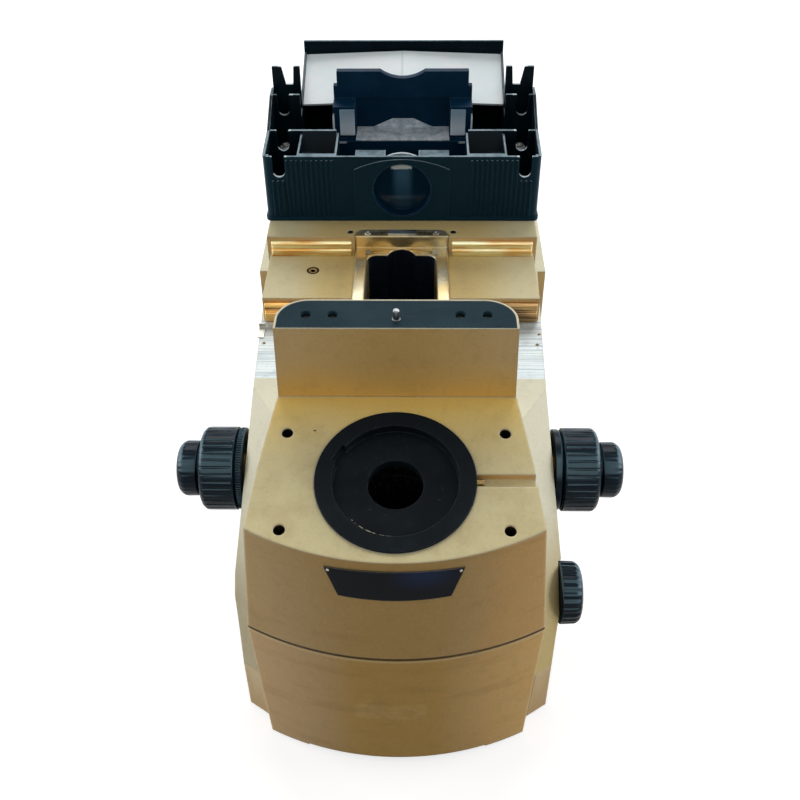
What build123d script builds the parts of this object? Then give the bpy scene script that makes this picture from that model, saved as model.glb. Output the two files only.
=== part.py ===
from build123d import *

# Inverted microscope stand, built as separate sub-parts in one shared frame.
# Millimetres. +X is the operator's right, +Y runs away from the operator, +Z is up.
# The origin lies on the table, under the middle of the stand's bounding box.
# Stations along Y are distances behind the front edge, turned into Y by back().

import os
from math import cos, radians, sin, tan

os.makedirs("parts", exist_ok=True)

# Overall sizes
depth = 600.0
cover_sheet = 2.0
body_back = depth - cover_sheet
foot_height = 3.0
foot_radius = 13.0
running_fit = 0.05
slide_gap = 0.5

# Levels above the table
parting_z = 106.4
pad_z = 160.6
floor_z = 182.0
rear_deck_z = 198.0
leg_top_z = 273.0
flank_top_z = 153.0

# Stations behind the front edge
cover_back = 42.0
leg_front = 124.3
leg_back = 154.5
floor_front = 285.0
rear_front = 348.3
flank_front = 366.0

# Sloping tube deck
deck_slope = 14.0
deck_rear_z = 219.0
ring_station = 64.8
ring_radius = 48.9
ring_proud = 1.5
ring_seat_depth = 12.0
ring_recess_radius = 38.4
ring_recess_floor = -5.0
ring_eye_radius = 17.0
ring_throat_radius = 30.0
ring_throat_depth = 45.0
deck_hole_radius = 3.6
deck_hole_depth = 22.0
deck_hole_x = 67.45
deck_hole_rear = 27.6
deck_hole_front = 95.3
key_groove_width = 8.2
key_groove_depth = 5.5
clamp_screw_radius = 2.0
clamp_screw_drop = 2.5
clamp_screw_length = 14.4
clamp_screw_gap = 0.4
clamp_socket_radius = 1.15
clamp_socket_depth = 2.4

# Stage leg
leg_half_top = 74.25
leg_half_bottom = 77.7
leg_corner = 20.0
leg_plate_thickness = 4.0
leg_plate_rim = 1.3
leg_plate_front_lip = 0.6
leg_hole_outer = 55.6
leg_hole_inner = 39.1
leg_hole_station = 138.7
leg_hole_radius = 2.9
leg_hole_mouth = 3.8
leg_hole_depth = 24.0
pin_radius = 2.1
pin_station = 134.5
pin_height = 6.5
pin_shank_radius = 2.6
pin_shank_depth = 14.0
pin_chamfer = 0.5

# Focus drive
focus_station = 177.8
focus_z = 103.0
spot_face_x = 112.8
coarse_radius = 30.9
coarse_inner_x = 118.6
coarse_outer_x = 145.2
fine_radius = 20.7
fine_inner_x = 148.2
fine_outer_x = 164.0
sleeve_end_x = 142.0
shaft_end_x = 159.0
ring_outer_x = 118.0
sleeve_radius = 8.0
shaft_radius = 5.0
bush_radius = 12.0
ring_grip_radius = 30.5
flange_radius = 30.0

# Light-path selector
selector_station = 98.0
beam_z = 59.0
selector_radius = 22.4
selector_outer_x = 129.6
selector_shaft_end_x = 124.0
selector_shaft_radius = 4.0
drum_radius = 22.0
drum_half = 18.0
prism_side = 22.0

# Nosepiece carriage and its well
well_half = 38.0
well_front = 224.0
well_back = 359.5
well_floor_z = 37.0
well_corner = 8.0
carriage_low_z = 187.5
carriage_high_z = 198.6
carriage_bottom_z = 140.0
opening_half = 28.3
opening_front = 244.0
opening_back = 338.0
opening_bump = 347.0
guide_radius = 5.0
guide_x = 26.0
guide_station = 233.0

# Illuminator bay
bay_half = 111.3
bay_front = 374.6
bay_wall = 2.5
bay_recess = 0.5
bay_corner = 5.0
bay_flange = 1.2
bay_base_z = rear_deck_z - bay_recess
bay_back = 527.0
bay_floor = 3.0
bay_front_rim = 255.5
bay_mid_rim = 258.5
bay_ledge_rim = 274.0
bay_mid_station = 414.0
bay_ledge_station = 448.0
bay_tower_station = 461.0
tower_top = 293.0
tower_notch_floor = 277.5
bay_inner_x = 86.0
back_wall_top = 289.5
notch_x = 98.6
notch_half = 4.9
notch_depth = 18.0
corner_inner_x = 82.0
pocket_inner_x = 54.0
pocket_floor_z = 222.0
rib_pitch = 4.0
rib_count = 13
rib_first_x = 56.0
rib_width = 1.6
rib_height = 0.9
pocket_ramp_front = 396.0
pocket_rim_depth = 6.0
bracket_half = 58.2
bracket_top_half = 55.1
bracket_front = 432.0
bracket_plate_front = 455.0
bracket_back = 461.0
bracket_floor_z = 240.0
bracket_shoulder_z = 279.0
bracket_top_z = 291.4
pad_inner_x = 40.0
pad_outer_x = 52.6
port_z = 226.0
port_radius = 24.5
port_bore = 23.0
port_lip_back = 378.0
port_house_half = 38.5
port_house_back = 404.0
port_house_top = 246.5
port_crown_side = 244.5
port_crown_top = 253.5
filter_front = 387.3
filter_thickness = 2.2
filter_radius = 26.0
filter_gap = 0.15


# Hollows and fixings of the main casting
guide_seat = 10.0
bay_box_front = 148.0
bay_box_back = 210.0
drive_ceiling = 134.0
lens_barrel_radius = 18.0
bush_inner_x = 95.0
port_seat_x = 104.0
side_port_station = 268.0
side_port_z = 59.0
side_port_radius = 26.0
side_port_throat = 19.0
pad_holes = [(-104.6, floor_front - 29.3), (106.8, floor_front - 17.2), (104.4, floor_front - 30.4)]
pad_hole_radius = 1.3
floor_screw_x = -70.9
floor_screw_station = floor_front + 38.5
floor_screw_radius = 5.4
guide_screw_x = 41.8
guide_screw_station = rear_front + 7.7
pillar_hole_x = 40.0
pillar_hole_front = body_back - 53.0
pillar_hole_rear = body_back - 13.0
pillar_hole_radius = 3.4
base_thickness = 2.0
rail_inner_x = 41.0
rail_outer_x = 106.0
base_front = 48.0
base_back = body_back - 6.0
base_half = 104.0
base_screw_x = base_half - 6.0
base_screw_stations = [base_front + 12.0, 216.0, 372.0, base_back - 6.0]
base_screw_points = [(x, s) for x in (-base_screw_x, base_screw_x) for s in base_screw_stations]
foot_points = [(-61, 31), (61, 31), (-88, body_back - 38), (88, body_back - 38)]
rear_room_front = 380.0
rear_room_back = body_back - 8.0
rear_room_top = 185.0
rear_room_half = 84.0
rear_cover_half = rear_room_half + 10.0
rear_cover_low = 17.0
rear_cover_high = 191.0
rear_cover_corner = 6.0
rear_screw_radius = 1.6
rear_screw_inset = 6.0
rear_screw_x = rear_cover_half - rear_screw_inset
rear_screw_levels = (rear_cover_low + rear_screw_inset, rear_cover_high - rear_screw_inset)
rear_screw_points = [(x, z) for x in (-rear_screw_x, rear_screw_x) for z in rear_screw_levels]


def back(distance):
    """Y of a station this far behind the front edge."""
    return distance - depth / 2


def block(x_range, stations, z_range, mode=Mode.ADD):
    """A box between two X values, two stations and two levels."""
    size = (x_range[1] - x_range[0], stations[1] - stations[0], z_range[1] - z_range[0])
    middle = (sum(x_range) / 2, back(sum(stations) / 2), sum(z_range) / 2)
    with Locations(middle):
        Box(*size, mode=mode)


def side_rod(x_range, station, level, radius, mode=Mode.ADD):
    """A cylinder lying along X between two X values."""
    middle = (sum(x_range) / 2, back(station), level)
    with Locations(Location(middle, (0, 90, 0))):
        Cylinder(radius, x_range[1] - x_range[0], mode=mode)


def long_rod(x, stations, level, radius, mode=Mode.ADD):
    """A cylinder lying along Y between two stations."""
    middle = (x, back(sum(stations) / 2), level)
    with Locations(Location(middle, (90, 0, 0))):
        Cylinder(radius, stations[1] - stations[0], mode=mode)


def post(x, station, z_range, radius, mode=Mode.ADD):
    """An upright cylinder between two levels."""
    with Locations((x, back(station), sum(z_range) / 2)):
        Cylinder(radius, z_range[1] - z_range[0], mode=mode)


def bowed_section(level, corner, middle_station, side_points):
    """A symmetric outline with a bowed front edge; side_points run to the rear."""
    corner_x, corner_station = corner
    right = [(corner_x, back(corner_station))]
    right += [(x, back(station)) for x, station in side_points]
    left = [(-x, y) for x, y in reversed(right)]
    with BuildSketch(Plane.XY.offset(level)) as section:
        with BuildLine():
            ThreePointArc(left[-1], (0, back(middle_station)), right[0])
            Polyline(*right, *left)
        make_face()
    return section.sketch


def straight_section(level, side_points):
    """A symmetric outline with straight edges, from its front to its rear."""
    right = [(x, back(station)) for x, station in side_points]
    left = [(-x, y) for x, y in reversed(right)]
    with BuildSketch(Plane.XY.offset(level)) as section:
        with BuildLine():
            Polyline(*right, *left, close=True)
        make_face()
    return section.sketch


def deck_level(station):
    """Height of the sloping deck at a station."""
    return deck_rear_z - (leg_front - station) * tan(radians(deck_slope))


deck_normal = (0, -sin(radians(deck_slope)), cos(radians(deck_slope)))
deck_plane = Plane(
    origin=(0, back(ring_station), deck_level(ring_station)),
    x_dir=(1, 0, 0),
    z_dir=deck_normal,
)
ring_slope_distance = (leg_front - ring_station) / cos(radians(deck_slope))


# Shared forms: outside of the tube base and of the lower front cover
with BuildPart() as nose_form:
    low = bowed_section(parting_z, (94.6, 31.0), 5.8, [(90.6, 74.0), (83.5, leg_front)])
    high = bowed_section(234.0, (85.8, 33.1), 13.8, [(82.2, 74.0), (74.9, leg_front)])
    loft([low, high], ruled=True)
    with BuildSketch(deck_plane):
        Rectangle(400, 400)
    extrude(amount=90, mode=Mode.SUBTRACT)

with BuildPart() as cover_form:
    low = bowed_section(foot_height, (86.8, 21.0), 0.0, [(87.5, cover_back)])
    high = bowed_section(parting_z, (94.6, 31.0), 5.8, [(94.6, cover_back)])
    loft([low, high], ruled=True)


def leg_section(level, half, rear, corner, front=leg_front):
    """Outline of the stage leg: square at the front, rounded at the rear."""
    with BuildSketch(Plane.XY.offset(level)) as section:
        with Locations((0, back((front + rear) / 2))):
            Rectangle(2 * half, rear - front)
        fillet(section.vertices().group_by(Axis.Y)[-1], corner)
    return section.sketch


# Tube base: nose casting with the stage leg on it
with BuildPart() as tube_base:
    add(nose_form.part)
    loft(
        [
            leg_section(parting_z, leg_half_bottom, leg_back, leg_corner),
            leg_section(leg_top_z, leg_half_top, leg_back, leg_corner),
        ],
        ruled=True,
    )
    block((-45, 45), (50, 110), (parting_z, 168), Mode.SUBTRACT)
    with BuildSketch(deck_plane):
        Circle(ring_radius)
    extrude(amount=-ring_seat_depth, mode=Mode.SUBTRACT)
    with BuildSketch(deck_plane):
        Circle(ring_throat_radius)
    extrude(amount=-ring_throat_depth, mode=Mode.SUBTRACT)
    with BuildSketch(deck_plane.offset(-deck_hole_depth)):
        for slope_distance in (deck_hole_rear, deck_hole_front):
            offset_y = ring_slope_distance - slope_distance
            with Locations((-deck_hole_x, offset_y), (deck_hole_x, offset_y)):
                Circle(deck_hole_radius)
    extrude(amount=deck_hole_depth + 5, mode=Mode.SUBTRACT)
    with BuildSketch(deck_plane.offset(-key_groove_depth)):
        with Locations((90, 0)):
            Rectangle(100, key_groove_width)
    extrude(amount=20, mode=Mode.SUBTRACT)
    loft(
        [
            leg_section(level, leg_half_top - leg_plate_rim, leg_back - leg_plate_rim,
                        leg_corner - leg_plate_rim, leg_front + leg_plate_front_lip)
            for level in (leg_top_z - leg_plate_thickness, leg_top_z)
        ],
        ruled=True,
        mode=Mode.SUBTRACT,
    )
    for x in (-leg_hole_outer, -leg_hole_inner, leg_hole_inner, leg_hole_outer):
        post(x, leg_hole_station, (leg_top_z - leg_hole_depth, leg_top_z),
             leg_hole_radius, Mode.SUBTRACT)
    post(0, pin_station, (leg_top_z - pin_shank_depth, leg_top_z), pin_shank_radius, Mode.SUBTRACT)
tube_base.part.label = "tube_base"
export_step(tube_base.part, "parts/tube_base.step")

with BuildPart() as stage_plate:
    loft(
        [
            leg_section(level, leg_half_top - leg_plate_rim, leg_back - leg_plate_rim,
                        leg_corner - leg_plate_rim, leg_front + leg_plate_front_lip)
            for level in (leg_top_z - leg_plate_thickness, leg_top_z)
        ],
        ruled=True,
    )
    for x in (-leg_hole_outer, -leg_hole_inner, leg_hole_inner, leg_hole_outer):
        post(x, leg_hole_station, (leg_top_z - leg_plate_thickness, leg_top_z),
             leg_hole_radius, Mode.SUBTRACT)
        with Locations((x, back(leg_hole_station), leg_top_z - 0.45)):
            Cone(leg_hole_radius, leg_hole_mouth, 0.9, mode=Mode.SUBTRACT)
    post(0, pin_station, (leg_top_z - leg_plate_thickness, leg_top_z), pin_shank_radius,
         Mode.SUBTRACT)
stage_plate.part.label = "stage_plate"
export_step(stage_plate.part, "parts/stage_plate.step")

with BuildPart() as stage_pin:
    post(0, pin_station, (leg_top_z - pin_shank_depth, leg_top_z), pin_shank_radius)
    post(0, pin_station, (leg_top_z, leg_top_z + pin_height), pin_radius)
    chamfer(stage_pin.edges().group_by(Axis.Z)[-1], pin_chamfer)
stage_pin.part.label = "stage_pin"
export_step(stage_pin.part, "parts/stage_pin.step")


# Lower front cover, brand plate and its rivets
with BuildPart() as front_cover:
    add(cover_form.part)
    low = bowed_section(foot_height, (83.3, 24.0), 3.8, [(84.0, cover_back)])
    high = bowed_section(parting_z - 4, (91.0, 34.0), 9.6, [(91.0, cover_back)])
    loft([low, high], ruled=True, mode=Mode.SUBTRACT)
    block((-100, 100), (-5, cover_back), (parting_z - 1, parting_z), Mode.SUBTRACT)
    block((-60, 60), (-5, cover_back), (foot_height, foot_height + 1), Mode.SUBTRACT)
front_cover.part.label = "front_cover"
export_step(front_cover.part, "parts/front_cover.step")

plate_top_z = 184.5
plate_bottom_z = 162.0
plate_top_half = 41.2
plate_bottom_half = 33.5
plate_thickness = 1.0
rivet_radius = 0.9
rivet_x = 38.6
rivet_z = 182.6

with BuildPart() as brand_plate:
    with BuildSketch(Plane.XZ.offset(-back(-5))):
        with BuildLine():
            Polyline(
                (plate_bottom_half, plate_bottom_z),
                (plate_top_half, plate_top_z),
                (-plate_top_half, plate_top_z),
                (-plate_bottom_half, plate_bottom_z),
            )
            ThreePointArc(
                (-plate_bottom_half, plate_bottom_z),
                (0, plate_bottom_z - 1.5),
                (plate_bottom_half, plate_bottom_z),
            )
        make_face()
    extrude(amount=-40)
    add(nose_form.part.moved(Location((0, -plate_thickness, 0))), mode=Mode.INTERSECT)
    add(nose_form.part, mode=Mode.SUBTRACT)
brand_plate.part.label = "brand_plate"
export_step(brand_plate.part, "parts/brand_plate.step")

with BuildPart() as plate_rivets:
    for x in (-rivet_x, rivet_x):
        long_rod(x, (8, 24), rivet_z, rivet_radius)
    add(nose_form.part.moved(Location((0, -plate_thickness - 0.5, 0))), mode=Mode.INTERSECT)
    add(nose_form.part.moved(Location((0, -plate_thickness, 0))), mode=Mode.SUBTRACT)
plate_rivets.part.label = "plate_rivets"
export_step(plate_rivets.part, "parts/plate_rivets.step")


# Tube mount ring and its clamp screw
notch_angle = 152.0
with BuildPart() as tube_ring:
    with BuildSketch(deck_plane.offset(-ring_seat_depth)):
        Circle(ring_radius)
    extrude(amount=ring_seat_depth + ring_proud)
    with BuildSketch(deck_plane.offset(ring_recess_floor)):
        Circle(ring_recess_radius)
        with Locations(Location((0, 0, 0), (0, 0, notch_angle))):
            with Locations((ring_recess_radius, 0)):
                Rectangle(5, 12)
    extrude(amount=20, mode=Mode.SUBTRACT)
    with BuildSketch(deck_plane.offset(-ring_seat_depth)):
        Circle(ring_eye_radius)
    extrude(amount=20, mode=Mode.SUBTRACT)
    with BuildSketch(Plane.YZ.offset(30)):
        with Locations((back(ring_station) + clamp_screw_drop * sin(radians(deck_slope)),
                        deck_level(ring_station) - clamp_screw_drop * cos(radians(deck_slope)))):
            Circle(clamp_screw_radius + running_fit)
    extrude(amount=30, mode=Mode.SUBTRACT)
tube_ring.part.label = "tube_ring"
export_step(tube_ring.part, "parts/tube_ring.step")

clamp_start_x = ring_recess_radius + clamp_screw_gap
clamp_end_x = clamp_start_x + clamp_screw_length
with BuildPart() as tube_clamp_screw:
    clamp_y = back(ring_station) + clamp_screw_drop * sin(radians(deck_slope))
    clamp_z = deck_level(ring_station) - clamp_screw_drop * cos(radians(deck_slope))
    with BuildSketch(Plane.YZ.offset(clamp_start_x)):
        with Locations((clamp_y, clamp_z)):
            Circle(clamp_screw_radius)
    extrude(amount=clamp_screw_length)
    with BuildSketch(Plane.YZ.offset(clamp_end_x)):
        with Locations((clamp_y, clamp_z)):
            RegularPolygon(clamp_socket_radius, 6)
    extrude(amount=-clamp_socket_depth, mode=Mode.SUBTRACT)
tube_clamp_screw.part.label = "tube_clamp_screw"
export_step(tube_clamp_screw.part, "parts/tube_clamp_screw.step")


# Main casting
bottom_line = [(90, 33), (104.5, 43), (111.5, 84), (113.5, 202), (114.5, 365)]
waist_line = [(94, 33), (106, 48), (116, 90), (117, 202), (117.5, 365)]
shoulder_line = [(96, 33), (101, 48), (105, 90), (106.5, 202), (113.5, 365)]
facet_slope = 1.5
facet_corner = (106.3, 202.2)
facet_run = (0.867, -0.498)

with BuildPart() as main_frame:
    waist = straight_section(73.0, waist_line)
    loft([straight_section(foot_height, bottom_line), waist], ruled=True)
    loft([waist, straight_section(pad_z, shoulder_line)], ruled=True)
    block((-107.5, 107.5), (floor_front, rear_front), (pad_z - 5, floor_z))
    block((-109.5, 109.5), (rear_front, body_back), (pad_z - 5, rear_deck_z))
    block((-121.5, 121.5), (flank_front, body_back), (foot_height, flank_top_z))
    block((-109.5, 109.5), (365, body_back), (foot_height, pad_z))
    for side in (-1, 1):
        tilt = (side * facet_slope * facet_run[0], facet_slope * facet_run[1], 1)
        corner = (side * facet_corner[0], back(facet_corner[1]), pad_z)
        with BuildSketch(Plane(origin=corner, z_dir=tilt)):
            Rectangle(700, 700)
        extrude(amount=200, mode=Mode.SUBTRACT)
    add(cover_form.part, mode=Mode.SUBTRACT)
    block((-74, 74), (21, cover_back), (foot_height, foot_height + 6))
    add(nose_form.part, mode=Mode.SUBTRACT)
    loft(
        [
            leg_section(parting_z, leg_half_bottom, leg_back, leg_corner),
            leg_section(leg_top_z, leg_half_top, leg_back, leg_corner),
        ],
        ruled=True,
        mode=Mode.SUBTRACT,
    )
    # well of the nosepiece carriage
    with BuildSketch(Plane.XY.offset(well_floor_z)):
        with Locations((0, back((well_front + well_back) / 2))):
            RectangleRounded(2 * well_half, well_back - well_front, well_corner)
    extrude(amount=rear_deck_z, mode=Mode.SUBTRACT)
    for x in (-guide_x, guide_x):
        post(x, guide_station, (well_floor_z - guide_seat, well_floor_z), guide_radius,
             Mode.SUBTRACT)
    # drive bay and front light chamber, open underneath
    block((-60, 60), (bay_box_front, bay_box_back), (foot_height, drive_ceiling), Mode.SUBTRACT)
    block((-45, 45), (50, 138), (foot_height, parting_z), Mode.SUBTRACT)
    block((-rear_room_half, rear_room_half), (rear_room_front, rear_room_back),
          (foot_height, rear_room_top), Mode.SUBTRACT)
    long_rod(0, (138, bay_box_front), beam_z, 16, Mode.SUBTRACT)
    long_rod(0, (bay_box_back, well_front), beam_z, lens_barrel_radius, Mode.SUBTRACT)
    # focus shaft: clearance bore, bush seats and flat seats outside
    side_rod((-bush_inner_x, bush_inner_x), focus_station, focus_z, 9, Mode.SUBTRACT)
    for side in (-1, 1):
        seat = sorted((side * bush_inner_x, side * 130))
        side_rod(seat, focus_station, focus_z, bush_radius, Mode.SUBTRACT)
        face = sorted((side * spot_face_x, side * 130))
        side_rod(face, focus_station, focus_z, ring_grip_radius + 2, Mode.SUBTRACT)
    side_rod((40, 96), selector_station, beam_z, 5, Mode.SUBTRACT)
    side_rod((96, 130), selector_station, beam_z, 8, Mode.SUBTRACT)
    side_rod((spot_face_x, 130), selector_station, beam_z, selector_radius + 2, Mode.SUBTRACT)
    # side ports on the light path, closed by covers
    for side in (-1, 1):
        seat = sorted((side * port_seat_x, side * 130))
        side_rod(seat, side_port_station, side_port_z, side_port_radius, Mode.SUBTRACT)
        throat = sorted((side * 37, side * port_seat_x))
        side_rod(throat, side_port_station, side_port_z, side_port_throat, Mode.SUBTRACT)
    # small tapped holes: pads, floor, guide screws, rear pillar seat
    for x, station in pad_holes:
        post(x, station, (pad_z - 8, pad_z), pad_hole_radius, Mode.SUBTRACT)
    post(floor_screw_x, floor_screw_station, (floor_z - 10, floor_z), 2.5, Mode.SUBTRACT)
    with Locations((floor_screw_x, back(floor_screw_station), floor_z - 1.5)):
        Cone(2.5, floor_screw_radius, 3, mode=Mode.SUBTRACT)
    for x in (-guide_screw_x, guide_screw_x):
        post(x, guide_screw_station, (rear_deck_z - 8, rear_deck_z), 1.5, Mode.SUBTRACT)
        post(x, guide_screw_station, (rear_deck_z - 1.6, rear_deck_z), 2.6, Mode.SUBTRACT)
    for x in (-pillar_hole_x, pillar_hole_x):
        for station in (pillar_hole_front, pillar_hole_rear):
            post(x, station, (rear_deck_z - 13, rear_deck_z), pillar_hole_radius,
                 Mode.SUBTRACT)
    # shallow seat for the illuminator bay, recess for the base plate
    block((-body_back, body_back), (bay_front - bay_flange, bay_back), (bay_base_z, rear_deck_z + 1),
          Mode.SUBTRACT)
    block((-base_half, base_half), (base_front, base_back),
          (foot_height, foot_height + base_thickness), Mode.SUBTRACT)
main_frame.part.label = "main_frame"
export_step(main_frame.part, "parts/main_frame.step")


# Machined rails on the floor step and on the rear step
with BuildPart() as front_rail_right:
    with BuildSketch(Plane.YZ.offset(rail_inner_x)):
        with BuildLine():
            Polyline(
                (back(floor_front), pad_z),
                (back(floor_front - 1.5), pad_z),
                (back(floor_front - 1.5), 165.4),
                (back(floor_front - 4.5), 165.4),
                (back(floor_front - 4.5), 171.2),
                (back(floor_front - 2.6), 171.2),
                (back(floor_front - 2.6), 172.6),
                (back(floor_front - 4.0), 172.6),
                (back(floor_front - 4.0), 178.2),
                (back(floor_front - 3.2), 179.0),
                (back(floor_front), 179.0),
                close=True,
            )
        make_face()
    extrude(amount=rail_outer_x - rail_inner_x)
front_rail_right.part.label = "front_rail_right"
export_step(front_rail_right.part, "parts/front_rail_right.step")

with BuildPart() as front_rail_left:
    add(mirror(front_rail_right.part, about=Plane.YZ))
front_rail_left.part.label = "front_rail_left"
export_step(front_rail_left.part, "parts/front_rail_left.step")

with BuildPart() as rear_rail_right:
    with BuildSketch(Plane.YZ.offset(rail_inner_x)):
        with BuildLine():
            Polyline(
                (back(rear_front), floor_z),
                (back(rear_front - 3.8), floor_z),
                (back(rear_front - 3.8), 187.4),
                (back(rear_front - 3.0), 187.8),
                (back(rear_front - 3.0), 193.0),
                (back(rear_front - 1.6), 194.6),
                (back(rear_front), 194.6),
                close=True,
            )
        make_face()
    extrude(amount=rail_outer_x - rail_inner_x)
rear_rail_right.part.label = "rear_rail_right"
export_step(rear_rail_right.part, "parts/rear_rail_right.step")

with BuildPart() as rear_rail_left:
    add(mirror(rear_rail_right.part, about=Plane.YZ))
rear_rail_left.part.label = "rear_rail_left"
export_step(rear_rail_left.part, "parts/rear_rail_left.step")


# Small fixed pieces on the casting
with BuildPart() as floor_screw:
    post(floor_screw_x, floor_screw_station, (floor_z - 10, floor_z - 3), 2.5)
    with Locations((floor_screw_x, back(floor_screw_station), floor_z - 1.5)):
        Cone(2.5, floor_screw_radius, 3)
    with BuildSketch(Plane.XY.offset(floor_z)):
        with Locations((floor_screw_x, back(floor_screw_station))):
            RegularPolygon(2.3, 6)
    extrude(amount=-2, mode=Mode.SUBTRACT)
floor_screw.part.label = "floor_screw"
export_step(floor_screw.part, "parts/floor_screw.step")

with BuildPart() as guide_screws:
    for x in (-guide_screw_x, guide_screw_x):
        post(x, guide_screw_station, (rear_deck_z - 8, rear_deck_z - 1.6), 1.5)
        post(x, guide_screw_station, (rear_deck_z - 1.6, rear_deck_z - 0.2), 2.6)
guide_screws.part.label = "guide_screws"
export_step(guide_screws.part, "parts/guide_screws.step")

with BuildPart() as pad_clip:
    block((-110.5, -105.5), (floor_front - 23, floor_front - 9), (pad_z, pad_z + 0.8))
    block((-110.5, -105.5), (floor_front - 9.8, floor_front - 9), (pad_z, pad_z + 4))
pad_clip.part.label = "pad_clip"
export_step(pad_clip.part, "parts/pad_clip.step")

with BuildPart() as base_plate:
    block((-base_half, base_half), (base_front, base_back),
          (foot_height, foot_height + base_thickness))
    for x, station in base_screw_points:
        post(x, station, (foot_height, foot_height + base_thickness), 2, Mode.SUBTRACT)
base_plate.part.label = "base_plate"
export_step(base_plate.part, "parts/base_plate.step")

with BuildPart() as base_screws:
    for x, station in base_screw_points:
        post(x, station, (foot_height, foot_height + base_thickness), 2)
        post(x, station, (foot_height - 1.2, foot_height), 3.8)
base_screws.part.label = "base_screws"
export_step(base_screws.part, "parts/base_screws.step")

with BuildPart() as feet:
    for x, station in foot_points:
        with Locations((x, back(station), foot_height / 2)):
            Cone(foot_radius - 0.8, foot_radius, foot_height)
feet.part.label = "feet"
export_step(feet.part, "parts/feet.step")

with BuildPart() as rear_cover:
    with BuildSketch(Plane.XZ.offset(-back(depth))):
        with Locations((0, (rear_cover_low + rear_cover_high) / 2)):
            RectangleRounded(2 * rear_cover_half, rear_cover_high - rear_cover_low,
                             rear_cover_corner)
        for x, level in rear_screw_points:
            with Locations((x, level)):
                Circle(rear_screw_radius, mode=Mode.SUBTRACT)
    extrude(amount=cover_sheet)
rear_cover.part.label = "rear_cover"
export_step(rear_cover.part, "parts/rear_cover.step")


with BuildPart() as rear_screws:
    for x, level in rear_screw_points:
        long_rod(x, (body_back, depth), level, rear_screw_radius)
rear_screws.part.label = "rear_screws"
export_step(rear_screws.part, "parts/rear_screws.step")


def turned(station, level, profile, mode=Mode.ADD):
    """Revolve a closed (x, radius) outline about a shaft axis lying along X."""
    centre = (0, back(station), level)
    with BuildSketch(Plane(origin=centre, x_dir=(1, 0, 0), z_dir=(0, -1, 0))) as outline:
        with BuildLine():
            Polyline(*profile, close=True)
        make_face()
    revolve(outline.sketch, axis=Axis(centre, (1, 0, 0)), mode=mode)


# Side ports: threaded ring with dust cap on the left, blank cover on the right
side_port_face_x = port_seat_x + 11.0
with BuildPart() as side_port_ring:
    side_rod((-side_port_face_x, -port_seat_x), side_port_station, side_port_z,
             side_port_radius)
    side_rod((-side_port_face_x, -port_seat_x), side_port_station, side_port_z,
             side_port_throat, Mode.SUBTRACT)
side_port_ring.part.label = "side_port_ring"
export_step(side_port_ring.part, "parts/side_port_ring.step")

with BuildPart() as side_port_cap:
    side_rod((1 - side_port_face_x, 9 - side_port_face_x), side_port_station, side_port_z,
             side_port_throat)
    side_rod((-side_port_face_x - 0.6, 1 - side_port_face_x), side_port_station, side_port_z,
             side_port_throat - 4)
side_port_cap.part.label = "side_port_cap"
export_step(side_port_cap.part, "parts/side_port_cap.step")

with BuildPart() as side_port_cover:
    side_rod((port_seat_x, side_port_face_x), side_port_station, side_port_z, side_port_radius)
side_port_cover.part.label = "side_port_cover"
export_step(side_port_cover.part, "parts/side_port_cover.step")


# Focus drive
gearbox_half = 55.0
with BuildPart() as focus_gearbox:
    block((-gearbox_half, gearbox_half), (156, 206), (81, drive_ceiling))
    side_rod((-gearbox_half, gearbox_half), focus_station, focus_z,
             sleeve_radius + running_fit, Mode.SUBTRACT)
focus_gearbox.part.label = "focus_gearbox"
export_step(focus_gearbox.part, "parts/focus_gearbox.step")

with BuildPart() as bush_left:
    side_rod((-ring_outer_x, -bush_inner_x), focus_station, focus_z, bush_radius)
    side_rod((-ring_outer_x, -bush_inner_x), focus_station, focus_z,
             sleeve_radius + running_fit, Mode.SUBTRACT)
bush_left.part.label = "bush_left"
export_step(bush_left.part, "parts/bush_left.step")

with BuildPart() as bush_right:
    add(mirror(bush_left.part, about=Plane.YZ))
bush_right.part.label = "bush_right"
export_step(bush_right.part, "parts/bush_right.step")

with BuildPart() as focus_flange:
    side_rod((spot_face_x, ring_outer_x), focus_station, focus_z, flange_radius)
    side_rod((spot_face_x, ring_outer_x), focus_station, focus_z, bush_radius, Mode.SUBTRACT)
    chamfer(focus_flange.edges().group_by(Axis.X)[-1].sort_by(SortBy.RADIUS)[-1], 1.2)
focus_flange.part.label = "focus_flange"
export_step(focus_flange.part, "parts/focus_flange.step")

with BuildPart() as torque_ring:
    side_rod((-ring_outer_x, -spot_face_x - 0.4), focus_station, focus_z, ring_grip_radius)
    side_rod((-ring_outer_x, -spot_face_x - 0.4), focus_station, focus_z,
             bush_radius + running_fit, Mode.SUBTRACT)
torque_ring.part.label = "torque_ring"
export_step(torque_ring.part, "parts/torque_ring.step")

with BuildPart() as coarse_sleeve:
    side_rod((-sleeve_end_x, sleeve_end_x), focus_station, focus_z, sleeve_radius)
    side_rod((-sleeve_end_x, sleeve_end_x), focus_station, focus_z,
             shaft_radius + running_fit, Mode.SUBTRACT)
coarse_sleeve.part.label = "coarse_sleeve"
export_step(coarse_sleeve.part, "parts/coarse_sleeve.step")

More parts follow.
